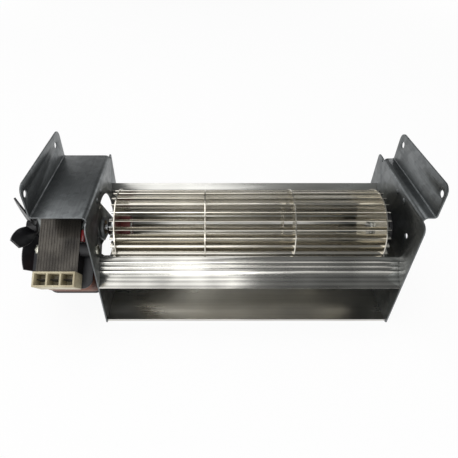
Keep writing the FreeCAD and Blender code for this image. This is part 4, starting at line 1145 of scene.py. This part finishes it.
@dataclass
class Studio:
    """Pale floor, soft lamps and the camera at the photo's angle, in metres.

    Attributes:
        floor_size: Length of the floor's sides.
        floor_paint: Colour of the floor.
        floor_white: Share of plain white in the floor's look; the rest keeps the fan's shadow.
        room: Stops of the room's look, each with the sine of its angle above the horizon.
        room_light: Colour of the light that the room gives.
        camera_at: Place of the camera.
        look_down_deg: How far the camera looks down.
        lens: Focal length in mm.
        shift_x: Shift of the picture sideways, as a share of its width.
        clip_near: Distance from which the camera sees.
        lamps: The soft lamps.
    """

    floor_size: float = 8.0
    floor_paint: str = "F2F2F2"
    floor_white: float = 0.92
    room: tuple[tuple[float, str], ...] = ((0.12, "FFFFFF"), (0.32, "575959"), (0.9, "7C7D7E"))
    room_light: str = "BCBCBC"
    camera_at: tuple[float, float, float] = (-0.030, -0.2489, 0.2598)
    look_down_deg: float = 39.03
    lens: float = 31.8
    shift_x: float = 0.0445
    clip_near: float = 0.01
    lamps: tuple[SoftLamp, ...] = (
        SoftLamp("overhead", (-0.3, 0.1, 1.2), size=0.9, power=5.2),
        SoftLamp("front_panel", (-0.45, -0.85, 0.92), size=1.1, power=5.2),
        SoftLamp("low_front", (-0.3, -1.3, 0.2), size=0.7, power=5.0),
        SoftLamp("back_left", (-0.9, 1.2, 0.35), size=0.6, power=1.3),
        SoftLamp("back_right", (0.9, 1.2, 0.35), size=0.6, power=1.3))

    def build(self) -> None:
        """Set up the view, floor, world, lamps and camera."""
        bpy.context.scene.view_settings.view_transform = "Standard"
        self.floor()
        self.world()
        for lamp in self.lamps:
            lamp.hang()
        self.camera()

    def seen_rays(self, tree: bpy.types.NodeTree) -> bpy.types.NodeSocket:
        """Tell the rays that show the surroundings from those that only light the fan.

        Args:
            tree: Node tree of the floor or the world.

        Returns:
            1 for a ray that shows them directly, mirrored or through glass, and otherwise 0.
        """
        rays = add_node(tree, "ShaderNodeLightPath").outputs
        mirrored = add_node(tree, "ShaderNodeMath", {"operation": "MAXIMUM"}, {
            0: rays["Is Glossy Ray"], 1: rays["Is Transmission Ray"]})
        seen = add_node(tree, "ShaderNodeMath", {"operation": "MAXIMUM"}, {
            0: rays["Is Camera Ray"], 1: mirrored.outputs[0]})
        return seen.outputs[0]

    def floor(self) -> None:
        """Lay a pale floor that shows white but keeps the fan's shadow."""
        mesh = bpy.data.meshes.new("floor")
        half = self.floor_size / 2
        mesh.from_pydata([(-half, -half, 0), (half, -half, 0), (half, half, 0),
                          (-half, half, 0)], [], [(0, 1, 2, 3)])
        floor = new_piece("floor", mesh)
        material = bpy.data.materials.new("floor_painted_matt")
        material.use_nodes = True
        tree = material.node_tree
        tree.nodes.clear()
        matt = add_node(tree, "ShaderNodeBsdfDiffuse", None,
                        {"Color": linear(self.floor_paint)})
        white = add_node(tree, "ShaderNodeEmission", None, {"Strength": 1.0})
        share = add_node(tree, "ShaderNodeMath", {"operation": "MULTIPLY"},
                         {0: self.seen_rays(tree), 1: self.floor_white})
        surface = add_node(tree, "ShaderNodeMixShader", None, {
            0: share.outputs[0], 1: matt.outputs[0], 2: white.outputs[0]})
        add_node(tree, "ShaderNodeOutputMaterial", None, {"Surface": surface.outputs[0]})
        mesh.materials.append(material)

    def world(self) -> None:
        """Light the room: white near the horizon, and a dark ceiling for the metal."""
        world = bpy.data.worlds.new("studio")
        bpy.context.scene.world = world
        world.use_nodes = True
        tree = world.node_tree
        tree.nodes.clear()
        heading = add_node(tree, "ShaderNodeTexCoord").outputs["Generated"]
        height = add_node(tree, "ShaderNodeSeparateXYZ", None, {0: heading}).outputs[2]
        ramp = add_node(tree, "ShaderNodeValToRGB", None, {0: height})
        stops = ramp.color_ramp.elements
        stops.remove(stops[1])
        for number, (level, colour) in enumerate(self.room):
            stop = stops.new(level) if number else stops[0]
            stop.position = level
            stop.color = linear(colour)
        room = add_node(tree, "ShaderNodeBackground", None,
                        {"Color": ramp.outputs[0], "Strength": 1.0})
        plain = add_node(tree, "ShaderNodeBackground", None,
                         {"Color": linear(self.room_light), "Strength": 1.0})
        mix = add_node(tree, "ShaderNodeMixShader", None, {
            0: self.seen_rays(tree), 1: plain.outputs[0], 2: room.outputs[0]})
        add_node(tree, "ShaderNodeOutputWorld", None, {"Surface": mix.outputs[0]})

    def camera(self) -> None:
        """Stand the camera where the photo was taken."""
        data = bpy.data.cameras.new("camera")
        data.lens = self.lens
        data.shift_x = self.shift_x
        data.clip_start = self.clip_near
        camera = bpy.data.objects.new("camera", data)
        bpy.context.scene.collection.objects.link(camera)
        camera.location = self.camera_at
        camera.rotation_euler = (math.pi / 2 - math.radians(self.look_down_deg), 0, 0)
        bpy.context.scene.camera = camera


def main() -> None:
    """Build the studio and every assembly of the fan, in order."""
    logging.basicConfig(level=logging.INFO, format="%(name)s: %(message)s")
    for assembly in (Studio(), Duct(), Impeller(), Motor(), CoolingFan()):
        assembly.build()
        LOG.info("%s is done", type(assembly).__name__)


if __name__ == "__main__":
    main()
